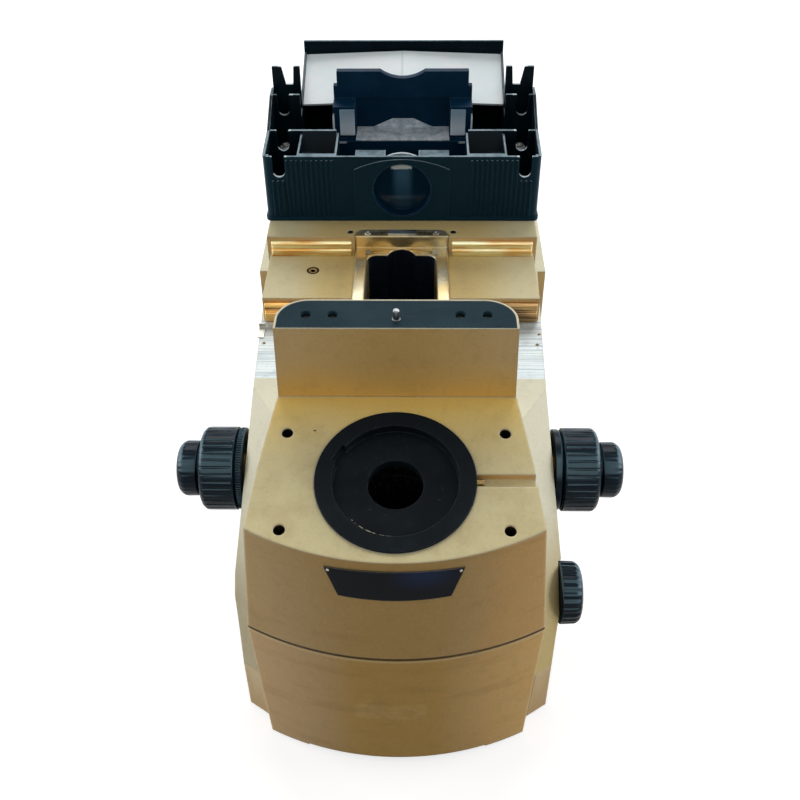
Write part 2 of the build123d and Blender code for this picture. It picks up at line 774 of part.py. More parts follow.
coarse_profile = [
    (coarse_inner_x, sleeve_radius),
    (coarse_inner_x, coarse_radius - 1.6),
    (coarse_inner_x + 1.6, coarse_radius),
    (coarse_outer_x - 2.4, coarse_radius),
    (coarse_outer_x, coarse_radius - 2.4),
    (coarse_outer_x, 24.5),
    (coarse_outer_x - 1.0, 23.5),
    (coarse_outer_x - 1.0, 10),
    (sleeve_end_x, 10),
    (sleeve_end_x, sleeve_radius),
]
fine_profile = [
    (fine_inner_x - 2.4, shaft_radius),
    (fine_inner_x - 2.4, 18),
    (fine_inner_x, 18),
    (fine_inner_x, fine_radius - 0.8),
    (fine_inner_x + 0.8, fine_radius),
    (fine_outer_x - 5.0, fine_radius - 0.6),
    (fine_outer_x - 1.6, fine_radius - 3.0),
    (fine_outer_x, fine_radius - 6.5),
    (fine_outer_x, 0),
    (shaft_end_x, 0),
    (shaft_end_x, shaft_radius),
]

with BuildPart() as coarse_knob_right:
    turned(focus_station, focus_z, coarse_profile)
coarse_knob_right.part.label = "coarse_knob_right"
export_step(coarse_knob_right.part, "parts/coarse_knob_right.step")

with BuildPart() as coarse_knob_left:
    add(mirror(coarse_knob_right.part, about=Plane.YZ))
coarse_knob_left.part.label = "coarse_knob_left"
export_step(coarse_knob_left.part, "parts/coarse_knob_left.step")

with BuildPart() as fine_shaft:
    side_rod((-shaft_end_x, shaft_end_x), focus_station, focus_z, shaft_radius)
fine_shaft.part.label = "fine_shaft"
export_step(fine_shaft.part, "parts/fine_shaft.step")

with BuildPart() as fine_knob_right:
    turned(focus_station, focus_z, fine_profile)
fine_knob_right.part.label = "fine_knob_right"
export_step(fine_knob_right.part, "parts/fine_knob_right.step")

with BuildPart() as fine_knob_left:
    add(mirror(fine_knob_right.part, about=Plane.YZ))
fine_knob_left.part.label = "fine_knob_left"
export_step(fine_knob_left.part, "parts/fine_knob_left.step")


# Light-path selector: knob, shaft, drum and prism
with BuildPart() as selector_bush:
    side_rod((96, spot_face_x), selector_station, beam_z, 8)
    side_rod((96, spot_face_x), selector_station, beam_z, selector_shaft_radius + running_fit,
             Mode.SUBTRACT)
selector_bush.part.label = "selector_bush"
export_step(selector_bush.part, "parts/selector_bush.step")

with BuildPart() as selector_shaft:
    side_rod((drum_half, selector_shaft_end_x), selector_station, beam_z, selector_shaft_radius)
selector_shaft.part.label = "selector_shaft"
export_step(selector_shaft.part, "parts/selector_shaft.step")

selector_profile = [
    (spot_face_x + 0.6, selector_shaft_radius),
    (spot_face_x + 0.6, selector_radius - 1.0),
    (spot_face_x + 1.6, selector_radius),
    (selector_outer_x - 5.0, selector_radius - 0.5),
    (selector_outer_x - 1.8, selector_radius - 2.6),
    (selector_outer_x, selector_radius - 7.0),
    (selector_outer_x, 0),
    (selector_shaft_end_x, 0),
    (selector_shaft_end_x, selector_shaft_radius),
]
with BuildPart() as selector_knob:
    turned(selector_station, beam_z, selector_profile)
selector_knob.part.label = "selector_knob"
export_step(selector_knob.part, "parts/selector_knob.step")

with BuildPart() as prism_drum:
    side_rod((-drum_half, drum_half), selector_station, beam_z, drum_radius)
    half = prism_side / 2
    block((-half, half), (selector_station - drum_radius - 1, selector_station + drum_radius + 1),
          (beam_z - half, beam_z + half), Mode.SUBTRACT)
prism_drum.part.label = "prism_drum"
export_step(prism_drum.part, "parts/prism_drum.step")

with BuildPart() as beam_prism:
    block((-half, half), (selector_station - half, selector_station + half),
          (beam_z - half, beam_z + half))
beam_prism.part.label = "beam_prism"
export_step(beam_prism.part, "parts/beam_prism.step")


# Fixed optics on the light path
def wedge(half_width, points):
    """A prism of constant (station, level) section, centred on the mid-plane."""
    with BuildSketch(Plane.YZ.offset(-half_width)) as section:
        with BuildLine():
            Polyline(*[(back(station), level) for station, level in points], close=True)
        make_face()
    extrude(section.sketch, amount=2 * half_width)


with BuildPart() as mirror_mount:
    wedge(20, [(244, well_floor_z), (290, well_floor_z), (290, 83)])
mirror_mount.part.label = "mirror_mount"
export_step(mirror_mount.part, "parts/mirror_mount.step")

with BuildPart() as fold_mirror:
    wedge(18, [(246, 39), (288, 81), (285.9, 83.1), (243.9, 41.1)])
fold_mirror.part.label = "fold_mirror"
export_step(fold_mirror.part, "parts/fold_mirror.step")

with BuildPart() as relay_mount:
    wedge(15, [(50, 45), (74, 45), (50, 69)])
relay_mount.part.label = "relay_mount"
export_step(relay_mount.part, "parts/relay_mount.step")

with BuildPart() as relay_mirror:
    wedge(14, [(73, 46), (51, 68), (52.4, 69.4), (74.4, 47.4)])
relay_mirror.part.label = "relay_mirror"
export_step(relay_mirror.part, "parts/relay_mirror.step")

with BuildPart() as tube_lens_barrel:
    long_rod(0, (bay_box_back - 4, well_front), beam_z, lens_barrel_radius)
    long_rod(0, (bay_box_back - 4, well_front), beam_z, 15, Mode.SUBTRACT)
tube_lens_barrel.part.label = "tube_lens_barrel"
export_step(tube_lens_barrel.part, "parts/tube_lens_barrel.step")

with BuildPart() as tube_lens:
    long_rod(0, (213, 219), beam_z, 15)
tube_lens.part.label = "tube_lens"
export_step(tube_lens.part, "parts/tube_lens.step")


# Nosepiece carriage on its guides
with BuildPart() as guide_rods:
    for x in (-guide_x, guide_x):
        post(x, guide_station, (well_floor_z - guide_seat, 165), guide_radius)
guide_rods.part.label = "guide_rods"
export_step(guide_rods.part, "parts/guide_rods.step")

carriage_half = well_half - slide_gap
carriage_front = well_front + slide_gap
carriage_back = well_back - slide_gap
carriage_step = rear_front
plate_thick = 1.2
carriage_screw_points = [
    (-27.6, 353.0, carriage_high_z),
    (27.6, 353.0, carriage_high_z),
    (-27.0, 341.6, carriage_low_z),
    (27.0, 341.6, carriage_low_z),
]


def opening_section(level):
    """Outline of the carriage opening, with its rounded bump at the rear."""
    with BuildSketch(Plane.XY.offset(level)) as section:
        with Locations((0, back((opening_front + opening_back) / 2))):
            RectangleRounded(2 * opening_half, opening_back - opening_front, 9)
        with Locations((0, back(opening_back - 6))):
            Rectangle(22, 16)
        with Locations((0, back(opening_bump - 11))):
            Circle(11)
    return section.sketch


with BuildPart() as nosepiece_carriage:
    with BuildSketch(Plane.XY.offset(carriage_bottom_z)):
        with Locations((0, back((carriage_front + carriage_back) / 2))):
            RectangleRounded(2 * carriage_half, carriage_back - carriage_front,
                             well_corner - slide_gap)
    extrude(amount=carriage_high_z - carriage_bottom_z)
    block((-50, 50), (carriage_front - 1, carriage_step), (carriage_low_z, 210), Mode.SUBTRACT)
    extrude(opening_section(carriage_bottom_z - 1), amount=70, mode=Mode.SUBTRACT)
    for x in (-guide_x, guide_x):
        post(x, guide_station, (carriage_bottom_z, 176), guide_radius + running_fit,
             Mode.SUBTRACT)
    for x, station, level in carriage_screw_points:
        post(x, station, (level - 6, level), 1.5, Mode.SUBTRACT)
nosepiece_carriage.part.label = "nosepiece_carriage"
export_step(nosepiece_carriage.part, "parts/nosepiece_carriage.step")

with BuildPart() as carriage_screws:
    for x, station, level in carriage_screw_points:
        post(x, station, (level - 6, level), 1.5)
        post(x, station, (level, level + 0.9), 2.6)
        with BuildSketch(Plane.XY.offset(level + 0.9)):
            with Locations((x, back(station))):
                RegularPolygon(1.2, 6)
        extrude(amount=-0.8, mode=Mode.SUBTRACT)
carriage_screws.part.label = "carriage_screws"
export_step(carriage_screws.part, "parts/carriage_screws.step")

with BuildPart() as carriage_plate:
    block((-11, 12), (350.2, 356.8), (carriage_high_z, carriage_high_z + plate_thick))
carriage_plate.part.label = "carriage_plate"
export_step(carriage_plate.part, "parts/carriage_plate.step")


# Illuminator bay at the rear
def notched(x, stations, top, floor_level, half=notch_half):
    """Cut a round-bottomed notch down from the rim of a crosswise wall."""
    block((x - half, x + half), stations, (floor_level + half, top + 1), Mode.SUBTRACT)
    long_rod(x, stations, floor_level + half, half, Mode.SUBTRACT)


rim_outline = [
    (bay_front, bay_base_z),
    (bay_front, bay_front_rim),
    (bay_mid_station, bay_mid_rim),
    (bay_ledge_station, bay_ledge_rim),
    (bay_tower_station + bay_wall, bay_ledge_rim),
    (bay_tower_station + bay_wall, bay_base_z),
]


def bay_outline(level, rear, grow=0.0):
    """Outside of the bay with its two rounded upright corners at the front."""
    with BuildSketch(Plane.XY.offset(level)) as section:
        with Locations((0, back((bay_front - grow + rear) / 2))):
            Rectangle(2 * (bay_half + grow), rear - bay_front + grow)
        fillet(section.vertices().group_by(Axis.Y)[0], bay_corner)
    return section.sketch


with BuildPart() as bay_shell:
    block((-bay_inner_x - 2, bay_inner_x + 2), (bay_tower_station, bay_back),
          (bay_base_z, rear_deck_z + bay_floor))
    block((-bay_half, bay_half), (bay_front, bay_front + bay_wall),
          (bay_base_z, bay_front_rim))
    for side in (-1, 1):
        outer = sorted((side * (bay_half - bay_wall), side * bay_half))
        with BuildSketch(Plane.YZ.offset(outer[0])):
            with BuildLine():
                Polyline(*[(back(s), z) for s, z in rim_outline], close=True)
            make_face()
        extrude(amount=bay_wall)
        # rounded inside of the corner, so that the wall keeps its thickness
        corner_block = sorted((side * (bay_half - bay_corner), side * bay_half))
        block(corner_block, (bay_front, bay_front + bay_corner), (bay_base_z, bay_front_rim))
        wide = sorted((side * pocket_inner_x, side * bay_half))
        block(wide, (bay_mid_station, bay_mid_station + bay_wall), (bay_base_z, bay_mid_rim))
        divider = sorted((side * corner_inner_x, side * (corner_inner_x + 2)))
        block(divider, (bay_front, bay_mid_station), (bay_base_z, bay_front_rim))
        pocket_side = sorted((side * (pocket_inner_x - 2), side * pocket_inner_x))
        block(pocket_side, (bay_front, bay_mid_station + bay_wall), (bay_base_z, bay_front_rim))
        pocket = sorted((side * pocket_inner_x, side * corner_inner_x))
        block(pocket, (bay_front, bay_front + pocket_rim_depth), (bay_base_z, bay_front_rim))
        with BuildSketch(Plane.YZ.offset(pocket[0])):
            with BuildLine():
                Polyline(
                    (back(bay_front), bay_base_z),
                    (back(bay_front), pocket_floor_z),
                    (back(pocket_ramp_front), pocket_floor_z),
                    (back(bay_mid_station), bay_mid_rim),
                    (back(bay_mid_station), bay_base_z),
                    close=True,
                )
            make_face()
        extrude(amount=corner_inner_x - pocket_inner_x)
        ledge = sorted((side * bay_inner_x, side * bay_half))
        block(ledge, (bay_ledge_station, bay_ledge_station + bay_wall),
              (bay_base_z, bay_ledge_rim))
        tower = sorted((side * bay_inner_x, side * 109.4))
        block(tower, (bay_tower_station, bay_tower_station + bay_wall), (bay_base_z, tower_top))
        cheek = sorted((side * bay_inner_x, side * (bay_inner_x + 2)))
        with BuildSketch(Plane.YZ.offset(cheek[0])):
            with BuildLine():
                Polyline(
                    (back(bay_ledge_station), bay_base_z),
                    (back(bay_ledge_station), 252),
                    (back(468), 258.5),
                    (back(bay_back - 3), 279.5),
                    (back(bay_back - 3), back_wall_top),
                    (back(bay_back), back_wall_top),
                    (back(bay_back), bay_base_z),
                    close=True,
                )
            make_face()
        extrude(amount=2)
        for first, rim in ((bay_front, bay_front_rim), (bay_mid_station, bay_mid_rim)):
            notched(side * notch_x, (first - 1, first + bay_wall + 1), rim, rim - notch_depth)
        notched(side * 100.2, (bay_ledge_station - 1, bay_ledge_station + bay_wall + 1),
                bay_ledge_rim, bay_ledge_rim - notch_depth)
        with BuildSketch(Plane.XZ.offset(-back(bay_tower_station + bay_wall + 1))):
            with BuildLine():
                Polyline(
                    (side * 92.4, tower_notch_floor),
                    (side * 98.6, tower_notch_floor),
                    (side * 101.9, tower_top + 1),
                    (side * 91.2, tower_top + 1),
                    close=True,
                )
            make_face()
        extrude(amount=bay_wall + 2, mode=Mode.SUBTRACT)
    block((-bay_inner_x, bay_inner_x), (bay_back - 3, bay_back), (bay_base_z, back_wall_top))
    # upright corners rounded, then the flange round the foot and the ribs
    extrude(bay_outline(bay_base_z - 1, bay_back), amount=tower_top - bay_base_z + 20,
            mode=Mode.INTERSECT)
    extrude(bay_outline(bay_base_z, bay_tower_station, bay_flange),
            amount=rear_deck_z + bay_floor - bay_base_z)
    for side in (-1, 1):
        for index in range(rib_count):
            rib_x = side * (rib_first_x + index * rib_pitch)
            in_notch = abs(abs(rib_x) - notch_x) < notch_half + rib_width
            rib_top = bay_front_rim - 3 - (notch_depth if in_notch else 0)
            block((rib_x - rib_width / 2, rib_x + rib_width / 2),
                  (bay_front - rib_height, bay_front), (rear_deck_z + 4, rib_top))
    # housing of the epi port: arched front lip, flat body with the filter slot
    block((-port_house_half, port_house_half), (bay_front - bay_flange, port_house_back),
          (bay_base_z, port_crown_side))
    block((-port_house_half, port_house_half), (port_lip_back, port_house_back),
          (bay_base_z, port_house_top))
    with BuildSketch(Plane.XZ.offset(-back(port_lip_back))):
        with BuildLine():
            ThreePointArc((-port_house_half, port_crown_side), (0, port_crown_top),
                          (port_house_half, port_crown_side))
            Line((port_house_half, port_crown_side), (-port_house_half, port_crown_side))
        make_face()
    extrude(amount=port_lip_back - bay_front + bay_flange)
    long_rod(0, (bay_front - bay_flange, port_house_back + 1), port_z, port_radius, Mode.SUBTRACT)
    filter_slot = (filter_front - filter_gap, filter_front + filter_thickness + filter_gap)
    long_rod(0, filter_slot, port_z, filter_radius + filter_gap, Mode.SUBTRACT)
    block((-filter_radius - filter_gap, filter_radius + filter_gap), filter_slot,
          (port_z, port_house_top + 10), Mode.SUBTRACT)
bay_shell.part.label = "bay_shell"
export_step(bay_shell.part, "parts/bay_shell.step")

with BuildPart() as port_barrel:
    long_rod(0, (bay_front - bay_flange, filter_front - filter_gap), port_z, port_radius)
    long_rod(0, (bay_front - bay_flange, filter_front - filter_gap), port_z, port_bore, Mode.SUBTRACT)
port_barrel.part.label = "port_barrel"
export_step(port_barrel.part, "parts/port_barrel.step")

with BuildPart() as port_lens:
    long_rod(0, (filter_front - 6, filter_front - 2), port_z, port_bore)
port_lens.part.label = "port_lens"
export_step(port_lens.part, "parts/port_lens.step")

with BuildPart() as port_filter:
    long_rod(0, (filter_front, filter_front + filter_thickness), port_z, filter_radius)
port_filter.part.label = "port_filter"
export_step(port_filter.part, "parts/port_filter.step")

with BuildPart() as bay_panel:
    rise = (278.0 - 256.4) / (523.0 - 468.0)
    run = ((523.0 - 468.0) ** 2 + (278.0 - 256.4) ** 2) ** 0.5
    with BuildSketch(Plane(origin=(0, back(468), 256.4), x_dir=(-1, 0, 0), z_dir=(0, 1, rise))):
        with BuildLine():
            Polyline(
                (-bay_inner_x, 0), (0, 4), (bay_inner_x, 0),
                (bay_inner_x, -2), (0, 2), (-bay_inner_x, -2),
                close=True,
            )
        make_face()
    extrude(amount=run)
bay_panel.part.label = "bay_panel"
export_step(bay_panel.part, "parts/bay_panel.step")

with BuildPart() as bay_bracket:
    block((-bracket_half, bracket_half), (bracket_front, bracket_back),
          (rear_deck_z + bay_floor, bracket_floor_z))
    block((-bracket_half, bracket_half), (bracket_plate_front, bracket_back),
          (bracket_floor_z, bracket_shoulder_z))
    block((-bracket_top_half, bracket_top_half), (bracket_plate_front, bracket_back),
          (bracket_shoulder_z, bracket_top_z))
    for side in (-1, 1):
        cheek = sorted((side * pad_inner_x, side * bracket_half))
        block(cheek, (bracket_front + 6, bracket_back), (bracket_floor_z, 268))
        lip = sorted((side * (bracket_half - 1), side * bracket_half))
        block(lip, (bracket_front, bracket_front + 6), (bracket_floor_z, 262))
    # window recess in the plate, scallop in its top edge
    block((-pad_inner_x, pad_inner_x), (bracket_plate_front, bracket_plate_front + 2),
          (bracket_floor_z, 268), Mode.SUBTRACT)
    with BuildSketch(Plane.XZ.offset(-back(470))):
        with BuildLine():
            ThreePointArc((-19.5, bracket_top_z + 0.8), (0, 285.4), (19.5, bracket_top_z + 0.8))
            Line((19.5, bracket_top_z + 0.8), (-19.5, bracket_top_z + 0.8))
        make_face()
    extrude(amount=20, mode=Mode.SUBTRACT)
bay_bracket.part.label = "bay_bracket"
export_step(bay_bracket.part, "parts/bay_bracket.step")

with BuildPart() as bracket_pads:
    for side in (-1, 1):
        pad = sorted((side * (pad_inner_x + 0.3), side * pad_outer_x))
        block(pad, (bracket_front + 4.5, bracket_front + 6), (243.2, 265.8))
bracket_pads.part.label = "bracket_pads"
export_step(bracket_pads.part, "parts/bracket_pads.step")

with BuildPart() as bracket_shelf:
    shelf_half = pad_inner_x - 0.5
    shelf_back = bracket_plate_front + 2
    block((-shelf_half, shelf_half), (bracket_front + 0.5, shelf_back),
          (bracket_floor_z, bracket_floor_z + 1.6))
    with BuildSketch(Plane.XZ.offset(-back(shelf_back))):
        with BuildLine():
            Polyline((-25, bracket_floor_z + 1.6), (-9, 249), (9, 249),
                     (25, bracket_floor_z + 1.6), close=True)
        make_face()
    extrude(amount=0.8)
bracket_shelf.part.label = "bracket_shelf"
export_step(bracket_shelf.part, "parts/bracket_shelf.step")

bay_screw_points = [(395, 222), (431, 236)]
with BuildPart() as bay_posts:
    for side in (-1, 1):
        for station, level in bay_screw_points:
            post(side * notch_x, station, (rear_deck_z + bay_floor, level), 5)
bay_posts.part.label = "bay_posts"
export_step(bay_posts.part, "parts/bay_posts.step")

with BuildPart() as bay_screws:
    for side in (-1, 1):
        for station, level in bay_screw_points:
            post(side * notch_x, station, (level, level + 2), 3.2)
            with BuildSketch(Plane.XY.offset(level + 2)):
                with Locations((side * notch_x, back(station))):
                    RegularPolygon(1.5, 6)
            extrude(amount=-1.4, mode=Mode.SUBTRACT)
bay_screws.part.label = "bay_screws"
export_step(bay_screws.part, "parts/bay_screws.step")
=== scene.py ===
import math

import bmesh
import bpy
from bpy.props import FloatProperty, FloatVectorProperty, IntProperty, PointerProperty
from mathutils import Matrix, Vector


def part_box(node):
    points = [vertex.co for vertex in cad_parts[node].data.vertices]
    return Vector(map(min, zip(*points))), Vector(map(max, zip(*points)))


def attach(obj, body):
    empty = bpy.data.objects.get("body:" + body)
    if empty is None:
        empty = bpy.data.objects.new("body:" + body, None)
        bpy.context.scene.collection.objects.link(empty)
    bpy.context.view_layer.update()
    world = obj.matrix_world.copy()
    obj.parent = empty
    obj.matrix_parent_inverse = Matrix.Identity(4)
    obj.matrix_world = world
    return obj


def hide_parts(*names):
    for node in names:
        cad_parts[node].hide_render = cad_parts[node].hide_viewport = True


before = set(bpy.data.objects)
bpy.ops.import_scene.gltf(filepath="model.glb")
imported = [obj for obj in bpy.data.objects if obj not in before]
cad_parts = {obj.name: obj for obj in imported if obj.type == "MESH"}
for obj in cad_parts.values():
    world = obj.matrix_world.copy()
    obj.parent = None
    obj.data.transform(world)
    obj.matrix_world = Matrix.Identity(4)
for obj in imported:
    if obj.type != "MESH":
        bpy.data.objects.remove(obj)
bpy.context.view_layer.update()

bl_info = {
    "name": "Inverted Microscope Stand",
    "version": (1, 0, 0),
    "blender": (4, 5, 0),
    "location": "3D View > Sidebar > Microscope",
    "description": "Finishes, turned knobs and a studio for the stand of an inverted microscope",
    "category": "Object",
}

MILLI = 0.001
# The part's own places, in metres but for the front edge, which is in millimetres
FRONT_EDGE = 300.0
DECK_SLOPE = math.radians(14)
DECK_OFFSET = 0.25502
RING_AXIS_POINT = (-0.23478, 0.20247)
DECK_HOLE_ACROSS = 0.06745
DECK_HOLE_ALONG = 0.03385
LEG_HOLE_Y = -0.1613


def station_y(station):
    """Depth in the frame, in metres, of a station in millimetres behind the front edge."""
    return (station - FRONT_EDGE) * MILLI


def tint(red, green, blue):
    """Linear colour from the usual 0 to 255 display values."""
    linear = []
    for value in (red, green, blue):
        share = value / 255
        linear.append(share / 12.92 if share <= 0.04045 else ((share + 0.055) / 1.055) ** 2.4)
    return (*linear, 1.0)


def node_box(node):
    """Lowest and highest corner of a node as two vectors."""
    low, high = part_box(node)
    return Vector(low), Vector(high)


def turned_sizes(node):
    """Centre in (y, z), radius, and nearer and farther end along x of a round node."""
    low, high = node_box(node)
    centre = ((low.y + high.y) / 2, (low.z + high.z) / 2)
    return (centre, (high.z - low.z) / 2, *sorted((abs(low.x), abs(high.x))))


# Grain, painted corner highlights and painted seam shade that the nose and its cover share
SMEAR_GRAIN = (14, 14, 70)
CORNER_HIGHLIGHT = 0.0042
SEAM_SHADE = tint(48, 33, 17)
# Edge rounding of small parts
CRISP = 0.0002
NEAT = 0.0003
SOFT = 0.0004
ROUND = 0.0006


# Kinds of setting
def colour_setting(name, description, default):
    """Colour with alpha."""
    return FloatVectorProperty(name=name, description=description, subtype="COLOR", size=4,
                               min=0.0, max=1.0, default=default)


def length_setting(name, description, top, default):
    """Length in metres, up to top."""
    return FloatProperty(name=name, description=description, subtype="DISTANCE", unit="LENGTH",
                         min=0.0, max=top, default=default)


def count_setting(name, description, low, high, default):
    """Whole number from low to high."""
    return IntProperty(name=name, description=description, min=low, max=high, default=default)


def power_setting(name, description, default):
    """Power of a lamp in watts."""
    return FloatProperty(name=name, description=description, unit="POWER", min=0.0, max=500.0,
                         default=default)


def angle_setting(name, description, degrees):
    """Angle, with its default in degrees."""
    return FloatProperty(name=name, description=description, subtype="ANGLE", unit="ROTATION",
                         default=math.radians(degrees))


# Sizes and colours a user would change
class MicroscopePaint(bpy.types.PropertyGroup):
    """Colours of the castings and the dark parts."""

    pale: colour_setting("Pale cream", "Cream of the faces that look up", tint(226, 222, 198))
    front_shade: colour_setting("Front shade cream", "Cream darkened as painted shade on the faces that look forward",
                           tint(208, 176, 124))
    grime: colour_setting("Grime", "Handling dirt in corners and on edges", tint(112, 88, 52))
    black_plastic: colour_setting("Black plastic", "Moulded plastic of the bay's front",
                                  tint(13, 46, 60))
    peel: length_setting("Orange peel", "Height of the paint's texture", 0.001, 0.00009)


class MicroscopeEdges(bpy.types.PropertyGroup):
    """Edge rounding of the main kinds of part."""

    casting: length_setting("Casting edge", "Rounding of the painted castings", 0.01, 0.0016)
    machined: length_setting("Machined edge", "Rounding of turned and milled parts",
                             0.005, 0.0005)
    moulded: length_setting("Moulded edge", "Rounding of moulded plastic", 0.005, 0.0005)


class MicroscopeKnobs(bpy.types.PropertyGroup):
    """Grip pattern of the knobs."""

    coarse_grooves: count_setting("Coarse grooves", "Grooves round each coarse knob", 8, 90, 36)
    coarse_depth: length_setting("Coarse groove depth", "Depth of a groove", 0.003, 0.0007)
    torque_teeth: count_setting("Torque ring teeth", "Teeth round the torque ring", 20, 180, 96)
    torque_depth: length_setting("Torque tooth depth", "Depth between two teeth", 0.003, 0.0009)
    selector_flutes: count_setting("Selector flutes", "Flutes round the selector knob", 6, 60, 24)
    selector_depth: length_setting("Selector flute depth", "Depth of a flute", 0.003, 0.0007)


class MicroscopeStudio(bpy.types.PropertyGroup):
    """Camera and light."""

    camera_place: FloatVectorProperty(
        name="Camera place", description="Where the camera stands", subtype="TRANSLATION",
        unit="LENGTH", size=3, default=(0.0124938, -0.680195, 0.649977))
    camera_dip: angle_setting("Camera dip", "Angle by which the camera looks down", 40.6642)
    camera_turn: angle_setting("Camera turn", "Angle by which the camera looks to the right",
                               -1.19299)
    camera_roll: angle_setting("Camera roll", "Tilt of the camera about its own axis", -0.575938)
    focal_length: FloatProperty(
        name="Focal length", description="For a sensor 36 mm wide, in millimetres",
        min=10.0, max=200.0, default=47.10213)
    sky: FloatProperty(
        name="Room light", description="Even light from all round", min=0.0, max=2.0,
        default=0.24)
    overhead: power_setting("Overhead softbox", "Power of the softbox above and behind", 45.0)
    side: power_setting("Side softboxes", "Power of each softbox at the side", 22.0)
    fill: power_setting("Front fill", "Power of the weak strip lamp in front", 2.6)


# Shader maths
class Flow:
    """A shader socket that takes part in plain arithmetic."""

    def __init__(self, nodes, socket):
        self.nodes = nodes
        self.socket = socket

    def _math(self, operation, first, second):
        vectors = [v for v in (first, second) if isinstance(v, Flow) and v.socket.type == "VECTOR"]
        kind = "ShaderNodeVectorMath" if vectors else "ShaderNodeMath"
        return self.nodes.node(kind, {"operation": operation}, {0: first, 1: second})

    def __add__(self, other):
        return self._math("ADD", self, other)

    def __radd__(self, other):
        return self._math("ADD", other, self)

    def __sub__(self, other):
        return self._math("SUBTRACT", self, other)

    def __rsub__(self, other):
        return self._math("SUBTRACT", other, self)

    def __mul__(self, other):
        return self._math("MULTIPLY", self, other)

    def __rmul__(self, other):
        return self._math("MULTIPLY", other, self)

    def __truediv__(self, other):
        return self._math("DIVIDE", self, other)

    def __pow__(self, other):
        return self._math("POWER", self, other)

    def __abs__(self):
        return self.nodes.node("ShaderNodeMath", {"operation": "ABSOLUTE"}, {0: self})


class Nodes:
    """The node tree of a material or of the world."""

    def __init__(self, owner):
        owner.use_nodes = True
        self.tree = owner.node_tree

    def feed(self, socket, value):
        """Link a flow to an input socket, or set a plain value there."""
        if isinstance(value, Flow):
            self.tree.links.new(value.socket, socket)
        else:
            socket.default_value = value

    def node(self, kind, settings=None, sockets=None, output=0):
        """Flow from one output of a new node; its settings are made before its sockets."""
        made = self.tree.nodes.new(kind)
        for name, value in (settings or {}).items():
            setattr(made, name, value)
        for name, value in (sockets or {}).items():
            self.feed(made.inputs[name], value)
        return Flow(self, made.outputs[output])

    def seen(self):
        """1 for camera, glossy and transmission rays, 0 for the rest."""
        camera, glossy, clear = (self.node("ShaderNodeLightPath", output="Is %s Ray" % kind)
                                 for kind in ("Camera", "Glossy", "Transmission"))
        return self.node("ShaderNodeMath", {"operation": "MAXIMUM"},
                         {0: camera + glossy, 1: clear})

    def show(self, output, shader):
        """Lead a shader to the surface of an output node."""
        self.feed(self.tree.nodes[output].inputs["Surface"], shader)


class Finish(Nodes):
    """A material, its colour so far, and the few patterns that its finish is made from."""

    def __init__(self, name, colour=None):
        self.material = bpy.data.materials.new(name)
        super().__init__(self.material)
        self.shader = self.tree.nodes["Principled BSDF"]
        self.parts = {}
        self.colour = colour

    def surface(self, **sockets):
        """Give the shader the colour so far and other sockets, named in lower case."""
        names = {s.name.lower().replace(" ", "_"): s for s in self.shader.inputs}
        for name, value in {"base_color": self.colour, **sockets}.items():
            self.feed(names[name], value)
        return self.material

    def kept(self, name, make):
        """The part of that name, made on its first use."""
        if name not in self.parts:
            self.parts[name] = make()
        return self.parts[name]

    @property
    def place(self):
        """The surface point, in metres."""
        return self.kept("place", lambda: self.node("ShaderNodeTexCoord", output="Object"))

    def axis(self, letter):
        """One coordinate of the surface point, in metres."""
        return self.kept("at " + letter, lambda: self.node(
            "ShaderNodeSeparateXYZ", sockets={0: self.place}, output=letter))

    def facing(self, letter):
        """One component of the way that the surface looks."""
        normal = self.kept("normal", lambda: self.node("ShaderNodeNewGeometry", output="Normal"))
        return self.kept("facing " + letter, lambda: self.node(
            "ShaderNodeSeparateXYZ", sockets={0: normal}, output=letter))

    @property
    def ahead(self):
        """1 where the surface looks to the front, -1 where it looks back."""
        return self.kept("ahead", lambda: 0 - self.facing("Y"))

    def stretched(self, x, y, z):
        """The surface point with its axes scaled, for grain that runs one way."""
        return self.node("ShaderNodeMapping", {"vector_type": "POINT"},
                         {"Vector": self.place, "Scale": (x, y, z)})

    def cloud(self, scale, detail=2.0, roughness=0.5, where=None):
        """Soft random values from 0 to 1."""
        return self.node("ShaderNodeTexNoise", {}, {
            "Vector": where or self.place, "Scale": scale, "Detail": detail,
            "Roughness": roughness}, "Fac")

    def cells(self, scale):
        """Distance to the nearest of many scattered points."""
        return self.node("ShaderNodeTexVoronoi", {}, {
            "Vector": self.place, "Scale": scale}, "Distance")

    def rise(self, value, low, high):
        """0 below low, 1 above high, smooth between; the other way round if low is higher."""
        return self.node("ShaderNodeMapRange", {"interpolation_type": "SMOOTHSTEP"}, {
            "Value": value, "From Min": low, "From Max": high})

    def fall(self, value, low, high):
        """1 below low, 0 above high, smooth between."""
        return 1 - self.rise(value, low, high)

    def within(self, value, low, high, soft):
        """1 between low and high, fading over a soft distance."""
        return (self.rise(value, low - soft, low + soft)
                * self.fall(value, high - soft, high + soft))

    def blend(self, first, second, share):
        """Colour mixed from first to second."""
        return self.node("ShaderNodeMix", {"data_type": "RGBA"}, {
            0: share, 6: first, 7: second}, 2)

    def coat(self, colour, share):
        """Lay a colour over the one so far, as far as share says."""
        self.colour = self.blend(self.colour, colour, share)

    def edge_band(self, radius):
        """1 along outer and inner edges, 0 on the flats."""
        rounded = self.node("ShaderNodeBevel", {"samples": 4}, {"Radius": radius})
        true = self.node("ShaderNodeNewGeometry", output="True Normal")
        same = self.node("ShaderNodeVectorMath", {"operation": "DOT_PRODUCT"},
                         {0: rounded, 1: true}, "Value")
        return self.rise(1 - same, 0.01, 0.16)

    def relief(self, height, strength, distance, rounding=0.0):
        """Normal with the height pressed into it, and its edges rounded in the shading."""
        sockets = {"Strength": strength, "Distance": distance, "Height": height}
        if rounding:
            sockets["Normal"] = self.node("ShaderNodeBevel", {"samples": 6}, {"Radius": rounding})
        return self.node("ShaderNodeBump", {}, sockets)


